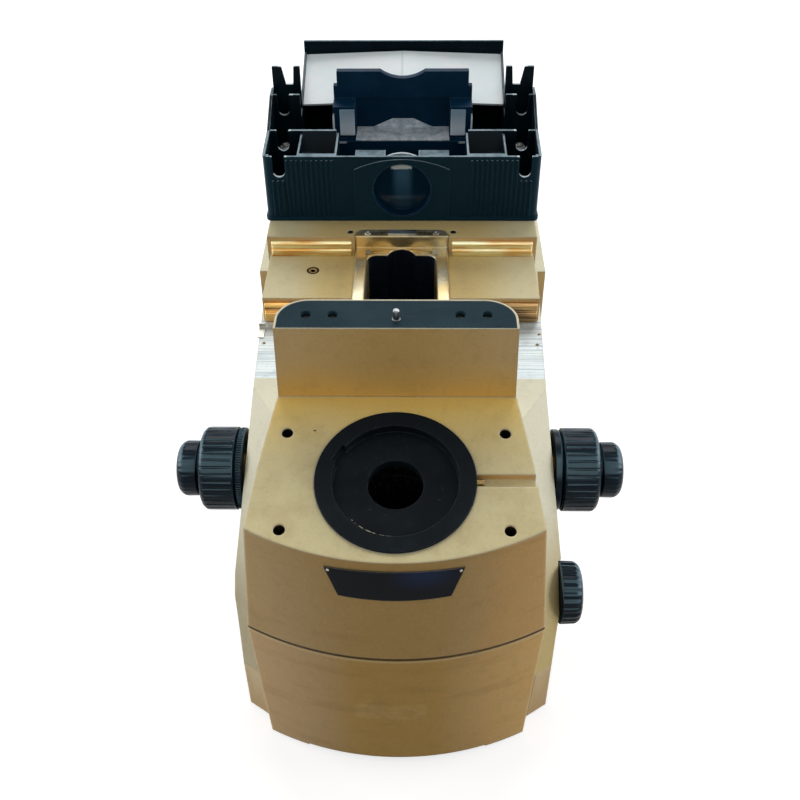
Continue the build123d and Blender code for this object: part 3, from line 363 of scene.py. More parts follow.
# Measures on the surface
def length(first, second):
    """Length of two distances at right angles."""
    return (first * first + second * second) ** 0.5


def deck_height(finish):
    """Distance above the sloping deck, in metres."""
    return (finish.axis("Z") * math.cos(DECK_SLOPE) - finish.axis("Y") * math.sin(DECK_SLOPE)
            - DECK_OFFSET)


def deck_along(finish):
    """Distance up the sloping deck from the axis of the tube mount, in metres."""
    return ((finish.axis("Y") - RING_AXIS_POINT[0]) * math.cos(DECK_SLOPE)
            + (finish.axis("Z") - RING_AXIS_POINT[1]) * math.sin(DECK_SLOPE))


def smear(finish, low):
    """1 in the level smears that the nose and its cover share."""
    return finish.rise(finish.cloud(1.0, 5.0, 0.65, finish.stretched(*SMEAR_GRAIN)), low, 0.7)


# Mesh helpers
def link_piece(name, maker, body, material):
    """Put a finished bmesh into the scene as a piece that rides on a body."""
    mesh = bpy.data.meshes.new(name)
    maker.to_mesh(mesh)
    maker.free()
    piece = bpy.data.objects.new(name, mesh)
    bpy.context.scene.collection.objects.link(piece)
    mesh.materials.append(material)
    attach(piece, body)
    return piece


def smooth_with_creases(maker, angle):
    """Shade every face smooth and keep the edges sharper than angle crisp."""
    for face in maker.faces:
        face.smooth = True
    for edge in maker.edges:
        edge.smooth = len(edge.link_faces) == 2 and edge.calc_face_angle() < angle


def groove_cut(phase):
    """Share of the depth that a narrow round groove has at a phase from 0 to 1."""
    distance = abs(phase - 0.5) / 0.16
    return 0.0 if distance >= 1 else math.sqrt(1 - distance * distance)


def flute_cut(phase):
    """Share of the depth that a shallow wide flute has at a phase from 0 to 1."""
    return 0.5 - 0.5 * math.cos(2 * math.pi * phase) if 0.0 < phase < 1.0 else 0.0


def tooth_cut(phase):
    """Share of the depth between two straight teeth at a phase from 0 to 1."""
    distance = abs(phase - 0.5)
    return max(0.0, min(1.0, (0.38 - distance) / 0.16))


# Radius below which a row of an outline is one point on the axis
POLE = 1e-7


def turned(outline, centre, side, count, steps, cut):
    """Revolve an outline of (x, radius, cut depth) rows about the x axis through centre.

    The rows run from the inner end to the outer end, in metres, and only the last may lie on
    the axis; side is 1 or -1. Round it there are count cuts, each in that many steps.
    """
    maker = bmesh.new()
    around = count * steps
    rings = []
    for x, radius, depth in outline:
        if radius < POLE:
            rings.append([maker.verts.new((side * x, centre[0], centre[1]))])
            continue
        ring = []
        for index in range(around):
            angle = 2 * math.pi * index / around
            phase = (index % steps) / steps
            reach = radius - depth * cut(phase)
            ring.append(maker.verts.new((side * x, centre[0] + reach * math.cos(angle),
                                         centre[1] + reach * math.sin(angle))))
        rings.append(ring)
    for lower, upper in zip(rings, rings[1:]):
        for index in range(around):
            following = (index + 1) % around
            if len(upper) == 1:
                corners = [lower[index], lower[following], upper[0]]
            else:
                corners = [lower[index], lower[following], upper[following], upper[index]]
            maker.faces.new(corners)
    bmesh.ops.recalc_face_normals(maker, faces=maker.faces)
    smooth_with_creases(maker, math.radians(38))
    return maker


def rounded(points, radius):
    """Outline rows with each corner between two points rounded; points are (x, r, depth)."""
    steps = 4
    rows = [points[0]]
    for before, corner, after in zip(points, points[1:], points[2:]):
        here = Vector(corner[:2])
        arms = [Vector(p[:2]) - here for p in (before, after)]
        reach = min(radius, *(0.45 * arm.length for arm in arms))
        start, end = (here + arm.normalized() * reach for arm in arms)
        for step in range(steps + 1):
            share = step / steps
            first = start * (1 - share) + here * share
            point = first.lerp(here * (1 - share) + end * share, share)
            rows.append((point.x, max(point.y, 0.0), corner[2]))
    rows.append(points[-1])
    return rows


def soften(part, width, planes):
    """Join the seams of a CAD node, and its flat faces too if planes, and round its edges."""
    weld = part.modifiers.new("Joined seams", "WELD")
    weld.merge_threshold = 2e-6
    if planes:
        joined = part.modifiers.new("Joined planes", "DECIMATE")
        joined.decimate_type = "DISSOLVE"
        joined.angle_limit = math.radians(0.5)
    bevel = part.modifiers.new("Rounded edges", "BEVEL")
    bevel.width = width
    bevel.segments = 2
    bevel.limit_method = "ANGLE"
    bevel.angle_limit = math.radians(28)
    bevel.miter_outer = "MITER_ARC"
    bevel.use_clamp_overlap = planes
    shade = part.modifiers.new("Even shading", "WEIGHTED_NORMAL")
    shade.keep_sharp = True
    shade.weight = 80


def dress(nodes, material, width=0.0, planes=False):
    """Give CAD nodes their material and edge rounding."""
    for node in nodes:
        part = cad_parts[node]
        part.data.materials.clear()
        part.data.materials.append(material)
        if width > 0:
            soften(part, width, planes)


def setting(group):
    """A property group of the scene, by the last word of its name."""
    return getattr(bpy.context.scene, "microscope_" + group)


# Finishes
def cream_finish(name):
    """Textured cream paint, with painted shade in darker gold on the faces that look forward."""
    paint = setting("paint")
    finish = Finish(name, tuple(paint.pale))
    # Painted shade: the faces that look forward take the darker gold cream.
    patchy = finish.cloud(9.0, 4.0, 0.6)
    finish.coat(tuple(paint.front_shade), finish.rise(finish.ahead + (patchy - 0.5) * 0.16, 0.42, 0.84))
    tone = finish.cloud(26.0, 5.0, 0.6)
    finish.coat(tuple(paint.grime), finish.rise(tone, 0.5, 0.95) * 0.16)
    return finish


def close_cream(finish, plain=0.0):
    """Speckle, edges, sheen and relief of all the cream parts; no worn edge where plain."""
    paint = setting("paint")
    fine = finish.cloud(520.0, 3.0, 0.6)
    blotch = finish.cloud(95.0, 4.0, 0.65)
    finish.coat(tuple(paint.grime), finish.rise(blotch, 0.5, 0.72) * 0.09)
    finish.coat(tuple(paint.grime), finish.rise(fine, 0.54, 0.76) * 0.11)
    finish.coat(tint(250, 242, 214), finish.rise(fine, 0.46, 0.28) * 0.09)
    edge = finish.edge_band(0.0015) * (1 - plain)
    rubbed = finish.rise(finish.cloud(70.0, 3.0, 0.7), 0.3, 0.56)
    finish.coat(tint(244, 234, 204), edge * rubbed * 0.75)
    dirty = finish.rise(finish.cloud(130.0, 4.0, 0.7), 0.62, 0.7)
    finish.coat(tint(74, 56, 34), edge * dirty * 0.55)
    pits = finish.rise(finish.cloud(330.0), 0.6, 0.7)
    height = fine + finish.cloud(240.0, 2.0) * 0.8 + pits * 0.5
    return finish.surface(
        roughness=finish.cloud(40.0, 3.0) * 0.16 + 0.46, specular_ior_level=0.18,
        normal=finish.relief(height, 0.75, paint.peel, 0.0022))


# Where the body's finish changes: from and to, in metres, or in millimetres for stations
PAD_REACH = 0.0006
PAD_INNER = (0.062, 0.066)
PAD_STATIONS = (213.6, 287)
WELL_TOP = (0.1575, 0.1585)
WELL_HALF = (0.0395, 0.0405)
WELL_STATIONS = (214, 372)
FLOOR_LEVEL = (0.172, 0.176)
FLOOR_OUTER = (0.055, 0.095)
SLOPE_SHADE = (0.118, 0.056)


def main_frame_finish():
    """Cream body with its milled pads, painted shade on its floor and lower flanks, and painted
    black shade inside its light well.
    """
    finish = cream_finish("Cream body")
    pad = node_box("pad_clip")[0].z
    across, depth, height = abs(finish.axis("X")), finish.axis("Y"), finish.axis("Z")
    up = finish.rise(finish.facing("Z"), 0.93, 0.98)
    # Painted shade: the floor that looks up is a darker gold toward the middle and paler at the
    # sides.
    outer = finish.rise(across + (finish.cloud(20.0, 3.0) - 0.5) * 0.02, *FLOOR_OUTER)
    floor = finish.blend(tint(206, 181, 118), tint(212, 200, 157), outer)
    finish.coat(floor, finish.rise(height, *FLOOR_LEVEL) * up * 0.95)

    # Painted shade: the sloping flanks take a tan lower down, warmer on the right than on the
    # left.
    sloping = finish.within(finish.facing("Z"), 0.3, 0.8, 0.05)
    low = finish.rise(height + (finish.cloud(16.0, 3.0) - 0.5) * 0.02, *SLOPE_SHADE)
    right = finish.rise(finish.axis("X"), -0.01, 0.01)
    finish.coat(finish.blend(tint(168, 157, 127), tint(184, 164, 110), right), sloping * low)

    milled = (finish.within(height, pad - PAD_REACH, pad + PAD_REACH, 0.0003) * up
              * finish.rise(across, *PAD_INNER)
              * finish.within(depth, *map(station_y, PAD_STATIONS), 0.0004))
    streak = finish.cloud(1.0, 5.0, 0.7, finish.stretched(10, 900, 10))
    silver = finish.blend(tint(176, 188, 192), tint(222, 230, 230), finish.rise(streak, 0.38, 0.6))
    patch = finish.rise(finish.cloud(60.0, 4.0, 0.7), 0.55, 0.7)
    finish.coat(finish.blend(silver, tint(156, 166, 174), patch * 0.6), milled)
    # Painted shade: the inside of the light well is painted black.
    inside = (finish.fall(height, *WELL_TOP) * finish.fall(across, *WELL_HALF)
              * finish.within(depth, *map(station_y, WELL_STATIONS), 0.001))
    finish.coat(tint(10, 16, 24), inside)
    close_cream(finish)
    return finish.surface(metallic=milled * 0.3)


# Where the finish of the nose and the leg changes
LEG_FOOT = (0.2185, 0.2205)
LEG_MIDDLE = (0.0, 0.085)
LEG_GLOW = (0.252, 0.216)
DECK_FOOT_SHADE = (-0.230, -0.172)
NOSE_MIDDLE = (0.01, 0.07)
NOSE_RIGHT = (0.03, 0.07)
CORNER_FROM = (0.06, 0.07)
RING_SEAT = (0.0494, 0.0499)
SEAM_BELOW = (0.1070, 0.1075)
CHAMBER_HALF = (0.0452, 0.0458)
CHAMBER_STATIONS = (49.6, 110.4)
CHAMBER_TOP = (0.1684, 0.1690)
THROAT_EDGE = (0.0312, 0.0314)
DECK_HOLE_EDGE = (0.0040, 0.0042)
DECK_SKIN = (-0.0016, -0.0008)
LEG_HOLE_HALF = 0.0034
LEG_HOLE_ACROSS = (0.065, 0.066)
LEG_HOLE_LEVEL = (0.244, 0.246)
CHIP_ACROSS = -0.0505
CHIP_ALONG = 0.0355
CHIP_EDGE = (0.0004, 0.0007)


def tube_base_finish():
    """Cream nose and leg, with painted shade darker on the leg, nose and deck, painted warm light
    at the leg's foot, painted highlights on the corners and ring seat, and painted shade in the
    hollows.
    """
    finish = cream_finish("Cream nose and leg")
    across, depth, height = abs(finish.axis("X")), finish.axis("Y"), finish.axis("Z")
    along, up = deck_along(finish), finish.facing("Z")
    drift = (finish.cloud(14.0, 3.0) - 0.5) * 0.03

    # Painted shade: the leg's front is darker toward its middle; painted warm light makes it a
    # brighter gold near its foot.
    on_leg = finish.rise(height, *LEG_FOOT) * finish.rise(finish.ahead, 0.7, 0.95)
    leg = finish.blend(tint(241, 207, 148), tint(230, 190, 118),
                       finish.fall(across + drift, *LEG_MIDDLE))
    leg = finish.blend(leg, tint(250, 202, 108), finish.rise(height + drift * 0.5, *LEG_GLOW))
    finish.coat(leg, on_leg)

    # Painted shade: the deck turns a warm gold toward the leg's foot; the mottle is random tone.
    deck = finish.within(up, 0.955, 0.985, 0.006) * finish.rise(finish.ahead, 0.18, 0.22)
    foot = finish.rise(depth + drift, *DECK_FOOT_SHADE)
    cream = finish.blend(tint(233, 220, 170), tint(255, 220, 122), foot)
    mottle = finish.rise(finish.cloud(48.0, 5.0, 0.65), 0.42, 0.68)
    finish.coat(finish.blend(cream, tint(206, 184, 132), mottle * 0.3 * (1 - foot)), deck)

    # Painted shade and light on the nose: a darker gold across its middle and a lighter gold on
    # its right; the smears are dirt.
    nose = finish.rise(finish.ahead, 0.6, 0.9) * (1 - on_leg)
    finish.coat(tint(205, 166, 100), nose * finish.fall(across + drift, *NOSE_MIDDLE) * 0.9)
    finish.coat(tint(228, 180, 112),
                nose * finish.rise(finish.axis("X") + drift, *NOSE_RIGHT) * 0.8)
    finish.coat(tint(176, 138, 82), nose * smear(finish, 0.52) * 0.3)
    from_axis = length(across, along)
    # Painted highlight: a pale line round the ring seat.
    finish.coat(tint(252, 244, 214), finish.fall(from_axis, *RING_SEAT) * 0.8)
    # Painted highlight along the upright corners.
    corner = finish.edge_band(CORNER_HIGHLIGHT) * finish.rise(across, *CORNER_FROM) * (1 - on_leg)
    finish.coat(tint(240, 222, 178), corner * 0.55)
    # Painted shade in the seam under the nose.
    seam = finish.fall(height, *SEAM_BELOW)
    finish.coat(SEAM_SHADE, seam * 0.85)

    chip = finish.fall(length((finish.axis("X") - CHIP_ACROSS) * 0.6, along - CHIP_ALONG),
                       *CHIP_EDGE)
    finish.coat(tint(70, 44, 18), chip * deck)
    # Painted shade: the chamber, the throat under the ring, the leg's holes and the deck's holes
    # are painted dark.
    chamber = (finish.fall(across, *CHAMBER_HALF) * finish.fall(height, *CHAMBER_TOP)
               * finish.within(depth, *map(station_y, CHAMBER_STATIONS), 0.0004))
    finish.coat(tint(8, 11, 15), chamber)
    leg_hole = (finish.within(depth - LEG_HOLE_Y, -LEG_HOLE_HALF, LEG_HOLE_HALF, 0.0002)
                * finish.fall(abs(up), 0.5, 0.6) * finish.fall(across, *LEG_HOLE_ACROSS)
                * finish.rise(height, *LEG_HOLE_LEVEL))
    finish.coat(tint(10, 10, 10), (finish.fall(from_axis, *THROAT_EDGE) + leg_hole) * (1 - deck))
    hole = finish.fall(length(across - DECK_HOLE_ACROSS, abs(along) - DECK_HOLE_ALONG),
                       *DECK_HOLE_EDGE)
    finish.coat(tint(26, 20, 14), hole * finish.fall(deck_height(finish), *DECK_SKIN))
    return close_cream(finish, seam)


# Where the finish of the lower cover changes
LABEL_ACROSS = (-0.026, 0.020)
LABEL_LEVEL = (0.046, 0.061)
COVER_SIDE = (0.02, 0.07)
COVER_LEFT = (0.0, 0.03)
COVER_LIP = (0.1028, 0.1046)
SEAM_ABOVE = (0.1048, 0.1053)


def cover_finish():
    """Cream lower cover with painted shade across its middle and in its seam, painted highlights
    on its corners and lip, the faint mark of a removed label and smudges.
    """
    finish = cream_finish("Cream cover")
    across, height = finish.axis("X"), finish.axis("Z")
    # Painted shade and light: a darker gold across the middle of the cover and lighter sides, the
    # left less gold.
    side = finish.rise(abs(across), *COVER_SIDE)
    left = finish.rise(0 - across, *COVER_LEFT)
    finish.coat(tint(213, 170, 95), 1 - side)
    finish.coat(finish.blend(tint(238, 194, 124), tint(224, 188, 138), left), side)

    ragged = (finish.cloud(120.0, 4.0, 0.7) - 0.5) * 0.004
    mark = (finish.within(across + ragged, *LABEL_ACROSS, 0.0012)
            * finish.within(height + ragged, *LABEL_LEVEL, 0.0012)
            * finish.rise(finish.cloud(60.0, 4.0, 0.7), 0.3, 0.55))
    finish.coat(tint(236, 204, 138), mark * 0.4)
    # Painted highlight along the upright corners.
    corner = finish.edge_band(CORNER_HIGHLIGHT) * finish.rise(abs(across), *CORNER_FROM)
    finish.coat(tint(238, 214, 166), corner * 0.5)
    # Painted highlight along the top lip.
    finish.coat(tint(240, 212, 158), finish.within(height, *COVER_LIP, 0.0004) * 0.6)
    # Painted shade in the seam above.
    seam = finish.rise(height, *SEAM_ABOVE)
    finish.coat(SEAM_SHADE, seam * 0.8)
    finish.coat(tint(178, 138, 80), smear(finish, 0.5) * 0.28)
    smudge = finish.rise(finish.cloud(22.0, 5.0, 0.7), 0.58, 0.72)
    finish.coat(tuple(setting("paint").grime), smudge * 0.14)
    return close_cream(finish, seam)


def black_finish(name, base, sheen, rough=0.36, texture=900.0, relief=0.00004, edge=0.0007,
                 edge_tint=(92, 108, 118), edge_share=0.6, specular=0.08):
    """Moulded or anodised black with a cold sheen and rubbed edges."""
    finish = Finish(name, base)
    finish.coat(sheen, finish.rise(finish.cloud(38.0, 4.0, 0.6), 0.4, 0.75))
    dust = finish.rise(finish.cloud(420.0, 3.0, 0.7), 0.66, 0.74) * finish.rise(
        finish.facing("Z"), 0.3, 0.9)
    finish.coat(tint(120, 130, 136), dust * 0.22)
    rubbed = finish.edge_band(edge) * finish.rise(finish.cloud(150.0, 3.0, 0.6), 0.3, 0.55)
    finish.coat(tint(*edge_tint), rubbed * edge_share)
    finish.surface(roughness=finish.cloud(60.0, 3.0) * 0.16 + rough, specular_ior_level=specular,
                   normal=finish.relief(finish.cloud(texture, 2.0, 0.5), 0.25, relief))
    return finish


def metal_finish(name, bright, dull, rough=0.26, grain=(1.0, 1.0, 1.0), scale=260.0):
    """Machined metal with tool lines and dull patches."""
    finish = Finish(name, bright)
    lines = finish.cloud(scale, 4.0, 0.6, finish.stretched(*grain))
    finish.coat(dull, finish.rise(finish.cloud(45.0, 4.0, 0.6), 0.42, 0.72))
    finish.coat(tint(250, 250, 248), finish.edge_band(0.0004) * 0.5)
    finish.surface(metallic=1.0, roughness=lines * 0.22 + rough,
                   normal=finish.relief(lines, 0.3, 0.00003))
    return finish


def dress_metal(nodes, width, *looks, **more):
    """Give CAD nodes a machined metal and edge rounding."""
    dress(nodes, metal_finish(*looks, **more).material, width)


def knob_finish(name, rough):
    """Black grip material of a knob with a painted highlight on the faces that look up and out."""
    finish = black_finish(
        name, tint(4, 22, 34), tint(9, 30, 42), rough=rough, texture=1300.0, relief=0.00002,
        edge=0.0006, edge_tint=(84, 104, 116), edge_share=0.35, specular=0.1)
    # Painted highlight on the faces that look up and out.
    up = finish.facing("Z")
    upper = finish.rise(up, 0.44, 0.66) * finish.fall(up, 0.84, 0.95)
    finish.coat(tint(92, 118, 132), upper * 0.75)
    return finish.surface()


def slate_finish():
    """Slate anodised plate, brushed across, with pale edges that are partly worn bare and partly a
    painted glint.
    """
    finish = Finish("Slate anodised plate", tint(32, 53, 61))
    brushed = finish.cloud(1.0, 4.0, 0.6, finish.stretched(22, 700, 22))
    finish.coat(tint(40, 62, 70), finish.rise(finish.cloud(30.0, 3.0), 0.35, 0.7))
    finish.coat(tint(66, 88, 96), finish.rise(brushed, 0.58, 0.8) * 0.3)
    # Pale edges, partly worn bare and partly a painted glint.
    finish.coat(tint(206, 214, 214), finish.edge_band(0.0005) * 0.8)
    return finish.surface(roughness=brushed * 0.16 + 0.34, specular_ior_level=0.02,
                          normal=finish.relief(brushed, 0.2, 0.00003))


def bare_plate_finish():
    """Glossy black with a painted cold patch of light, a pale edge line and faint scratches."""
    finish = Finish("Glossy black plate", tint(9, 15, 22))
    # Painted reflection: a cold patch of light near the top.
    sheen = finish.within(finish.axis("X"), 0.004, 0.030, 0.012) * finish.rise(
        finish.axis("Z"), 0.166, 0.182)
    finish.coat(tint(30, 52, 92), sheen * 0.8)
    finish.coat(tint(196, 190, 168), finish.edge_band(0.0009) * 0.8)
    scratch = finish.rise(finish.cloud(1.0, 4.0, 0.7, finish.stretched(60, 60, 900)), 0.68, 0.74)
    return finish.surface(roughness=scratch * 0.2 + 0.16, specular_ior_level=0.05,
                          coat_weight=0.05, coat_roughness=0.06)


# Radii and reach along x of the arc worn bare on the ring
WORN_RADII = (0.0352, 0.0356)
WORN_ACROSS = (-0.026, 0.001)


def ring_finish():
    """Anodised ring with a thin broken arc worn bare in its recess."""
    finish = black_finish(
        "Anodised ring", tint(17, 24, 29), tint(26, 35, 40), rough=0.4, texture=700.0,
        edge=0.0005, edge_tint=(104, 116, 122), edge_share=0.55)
    low, high = node_box("tube_ring")
    across = finish.axis("X")
    along = (finish.axis("Y") - (low.y + high.y) / 2) / math.cos(DECK_SLOPE)
    arc = (finish.within(length(across, along), *WORN_RADII, 0.0002)
           * finish.within(across, *WORN_ACROSS, 0.002) * finish.rise(0 - along, 0.005, 0.012))
    worn = arc * finish.rise(finish.cloud(320.0, 4.0, 0.7), 0.44, 0.54)
    finish.coat(tint(206, 200, 176), worn)
    return finish.surface(metallic=worn * 0.6)


# Painted light and shade: the rear rails are brighter than the front ones, and the right front
# rail is darker than the left.
RAIL_TONES = {
    "front_rail_left": (tint(255, 204, 120), tint(146, 98, 54)),
    "front_rail_right": (tint(208, 168, 112), tint(104, 82, 58)),
    "rear_rail_left": (tint(255, 246, 190), tint(224, 170, 92)),
    "rear_rail_right": (tint(255, 250, 206), tint(232, 184, 110)),
}


def rail_finish(rail):
    """Machined metal of a rail, streaked along it."""
    bright, dull = RAIL_TONES[rail]
    finish = Finish(rail.replace("_", " ") + " metal", bright)
    streak = finish.cloud(1.0, 3.0, 0.6, finish.stretched(14, 300, 520))
    broad = finish.cloud(1.0, 2.0, 0.5, finish.stretched(26, 90, 90))
    finish.coat(dull, finish.rise(streak * 0.55 + broad * 0.45, 0.44, 0.6))
    finish.coat(tint(252, 244, 216), finish.edge_band(0.0005) * 0.6)
    return finish.surface(metallic=0.9, roughness=streak * 0.2 + 0.24,
                          normal=finish.relief(streak, 0.3, 0.00004, 0.0016))


def floor_screw_finish():
    """Brass with painted shade in the socket and in a ring round the head."""
    finish = metal_finish("Floor screw brass", tint(176, 148, 92), tint(66, 56, 42))
    low, high = node_box("floor_screw")
    middle = (low + high) / 2
    out = length(finish.axis("X") - middle.x, finish.axis("Y") - middle.y)
    # Painted shade in a ring round the head and in the socket.
    ring = finish.rise(out, 0.0034, 0.0037) * finish.fall(out, 0.0049, 0.0052)
    socket = finish.fall(finish.axis("Z"), high.z - 0.0008, high.z - 0.0004)
    finish.coat(tint(40, 32, 22), finish.rise(ring + socket, 0.1, 0.6))
    return finish.surface()


# Half width and top of the opening in the carriage, which is painted dark as shade
OPENING_HALF = (0.0265, 0.0275)
OPENING_TOP = (0.1862, 0.1876)


def carriage_finish():
    """Milled metal with warm patches and painted shade in its opening."""
    finish = metal_finish(
        "Milled carriage", tint(206, 196, 164), tint(150, 138, 106), rough=0.2,
        grain=(1.0, 0.1, 1.0), scale=420.0)
    warm = finish.rise(finish.cloud(28.0, 3.0), 0.45, 0.6)
    finish.coat(tint(214, 178, 104), warm * 0.6)
    # Painted shade inside the opening.
    inside = (finish.fall(abs(finish.axis("X")), *OPENING_HALF)
              * finish.fall(abs(finish.facing("Z")), 0.4, 0.6)
              * finish.fall(finish.axis("Z"), *OPENING_TOP))
    finish.coat(tint(8, 18, 30), inside)
    return finish.surface(metallic=0.8 - inside * 0.8,
                          normal=finish.relief(warm, 0.1, 0.00003, 0.0022))


# Where the finish of the bay and its bracket changes
BAY_FRONT_STATIONS = (381, 384)
RIM_LEVEL = (0.226, 0.229)
POCKET_ACROSS = (0.0542, 0.0824)
POCKET_STATIONS = (381, 414.6)
POCKET_FLOOR = (0.2214, 0.2220)
POCKET_TOP = (0.2420, 0.2440)
POCKET_SHEEN = (0.064, 0.081)
POCKET_WALL = (0.0810, 0.0816)
LEDGE_LEVEL = (0.2440, 0.2446)
NOTCH_ACROSS = (0.0915, 0.1040)
NOTCH_STATIONS = (374.5, 374.8)
NOTCH_LEVEL = (0.206, 0.208)
LIP_ACROSS = (0.0569, 0.0571)
LIP_TOP = (0.2615, 0.2625)
LIP_STATIONS = (438.1, 438.4)
FOOT_ACROSS = (0.046, 0.049)
FOOT_LEVEL = (0.2380, 0.2402)


def bay_finish():
    """Black moulding with painted highlights on its rims, ledge and pocket walls, painted light in
    its pockets, painted glints in its notches and painted shade behind its front wall.
    """
    finish = black_finish(
        "Moulded bay plastic", tint(5, 20, 28), tint(8, 28, 38), rough=0.3, edge=0.0006,
        edge_tint=(96, 122, 134), edge_share=0.1)
    across, depth, height = abs(finish.axis("X")), finish.axis("Y"), finish.axis("Z")
    up = finish.facing("Z")
    # The front wall takes the plastic's own tone; the walls and towers behind keep the darker base
    # as painted shade.
    finish.coat(tuple(setting("paint").black_plastic),
                finish.fall(depth, *map(station_y, BAY_FRONT_STATIONS)) * 0.9)
    # Random patches that vary the painted highlights on the ledge and the rims.
    worn = finish.rise(finish.cloud(60.0, 3.0, 0.6), 0.34, 0.56) * 0.5 + 0.5
    # Painted reflection on the pocket floors and a painted highlight on their outer walls.
    pocket = (finish.within(across, *POCKET_ACROSS, 0.0002)
              * finish.within(depth, *map(station_y, POCKET_STATIONS), 0.0003)
              * finish.rise(height, *POCKET_FLOOR) * finish.fall(height, *POCKET_TOP))
    sheen = finish.rise(across + (finish.cloud(50.0, 3.0) - 0.5) * 0.012, *POCKET_SHEEN)
    finish.coat(tint(96, 118, 132), pocket * sheen * 0.8)
    wall = finish.rise(abs(finish.facing("X")), 0.7, 0.9) * finish.rise(across, *POCKET_WALL)
    finish.coat(tint(214, 230, 238), pocket * wall)
    # Painted highlight on the ledge top.
    ledge = finish.rise(up, 0.9, 0.98) * finish.rise(height, *LEDGE_LEVEL)
    finish.coat(tint(140, 164, 176), ledge * worn * 0.85)
    # Painted glints on the notch bottoms.
    notch = (finish.within(across, *NOTCH_ACROSS, 0.0005) * finish.rise(up, 0.25, 0.5)
             * finish.rise(depth, *map(station_y, NOTCH_STATIONS))
             * finish.rise(height, *NOTCH_LEVEL))
    finish.coat(tint(226, 238, 242), notch * 0.9)
    # Painted highlights along the rims.
    rim = finish.edge_band(0.0014) * finish.rise(up, 0.55, 0.9) * finish.rise(height, *RIM_LEVEL)
    finish.coat(tint(186, 204, 210), rim * worn * 0.95)
    return finish.surface()


def bracket_finish():
    """Blue-black bracket with painted highlights along its lips and its foot."""
    finish = black_finish(
        "Black bracket", tint(7, 42, 66), tint(10, 50, 76), rough=0.34, edge=0.0007,
        edge_tint=(128, 146, 156), edge_share=0.35)
    across, depth, height = abs(finish.axis("X")), finish.axis("Y"), finish.axis("Z")
    # Painted highlights: bright lines along the lips and the foot.
    lip = (finish.rise(across, *LIP_ACROSS) * finish.fall(height, *LIP_TOP)
           * finish.fall(depth, *map(station_y, LIP_STATIONS)))
    foot = (finish.within(height, *FOOT_LEVEL, 0.0002) * finish.rise(across, *FOOT_ACROSS)
            * finish.rise(finish.ahead, 0.7, 0.9))
    finish.coat(tint(214, 226, 232), (lip + foot) * 0.9)
    return finish.surface()


def panel_finish():
    """Pale mottled panel with a painted shade line along its fold and painted highlights on its
    edges.
    """
    finish = Finish("Pale reflector panel", tint(238, 250, 252))
    mottled = finish.cloud(34.0, 5.0, 0.6)
    finish.coat(tint(250, 254, 255), finish.rise(mottled, 0.4, 0.65))
    # Painted shade along the fold; painted highlight on the edges.
    fold = finish.fall(abs(finish.axis("X") + 0.001), 0.0002, 0.0016)
    finish.coat(tint(206, 222, 228), fold * 0.6)
    finish.coat(tint(246, 250, 250), finish.edge_band(0.0012) * 0.7)
    return finish.surface(roughness=mottled * 0.2 + 0.42,
                          normal=finish.relief(mottled, 0.15, 0.0003))


def pads_finish():
    """Grey rubber, darker upward as painted shade."""
    finish = Finish("Grey rubber pads", tint(230, 244, 255))
    # Painted shade: darker upward.
    finish.coat(tint(140, 166, 186), finish.rise(finish.axis("Z"), 0.246, 0.266))
    return finish.surface(roughness=finish.cloud(200.0, 3.0) * 0.2 + 0.5,
                          normal=finish.relief(finish.cloud(1200.0), 0.2, 0.00003))


def shelf_finish():
    """Mottled grey, partly dust and partly painted light, with pale grit."""
    finish = Finish("Dusty grey shelf", tint(176, 194, 206))
    # The pale mottling is partly dust and partly painted light.
    blotch = finish.cloud(150.0, 6.0, 0.75)
    finish.coat(tint(244, 250, 255), finish.rise(blotch, 0.36, 0.66))
    finish.coat(tint(250, 253, 255), finish.rise(finish.cells(420.0), 0.2, 0.05) * 0.35)
    return finish.surface(roughness=blotch * 0.3 + 0.45,
                          normal=finish.relief(blotch, 0.4, 0.0002))


# Upright bar of light in the port lens, and the glint above it
BAR_ACROSS = (-0.0062, 0.0072)
BAR_LEVEL = (0.206, 0.243)
GLINT_ACROSS = (-0.0085, 0.0080)
GLINT_LEVEL = (0.2408, 0.2418)


def lens_finish():
    """Dark coated glass with a cold bar of light and a ragged glint."""
    finish = Finish("Coated port lens", tint(10, 40, 60))
    across, height = finish.axis("X"), finish.axis("Z")
    bar = finish.within(across, *BAR_ACROSS, 0.0035)
    finish.coat(tint(62, 100, 128), bar * (finish.rise(height, *BAR_LEVEL) * 0.8 + 0.15))
    ragged = (finish.cloud(420.0, 4.0, 0.7) - 0.5) * 0.004
    glint = finish.rise(height + ragged, *GLINT_LEVEL) * finish.within(
        across + ragged, *GLINT_ACROSS, 0.0008)
    finish.coat(tint(214, 224, 230), glint)
    return finish.surface(roughness=finish.cloud(60.0) * 0.1 + 0.08, specular_ior_level=0.2,
                          coat_weight=0.1, coat_roughness=0.05)


def two_tone_finish(name, first, second, scale, gloss, detail=3.0, **sockets):
    """Glass or mirror: two tones and a roughness that follow one soft cloud."""
    finish = Finish(name, first)
    cloudy = finish.cloud(scale, detail)
    finish.coat(second, cloudy)
    return finish.surface(roughness=cloudy * gloss[0] + gloss[1], **sockets)


class MICROSCOPE_OT_castings(bpy.types.Operator):
    """Cream paint on the body, the nose with its leg, and the covers"""

    bl_idname = "microscope.castings"
    bl_label = "Painted castings"

    def execute(self, context):
        edges = setting("edges")
        dress(["main_frame"], main_frame_finish(), edges.casting * 0.75, planes=True)
        dress(["tube_base"], tube_base_finish(), edges.casting, planes=True)
        dress(["front_cover"], cover_finish(), edges.casting, planes=True)
        rear = close_cream(cream_finish("Cream rear cover"))
        dress(["rear_cover", "side_port_cover"], rear, edges.machined)
        return {"FINISHED"}


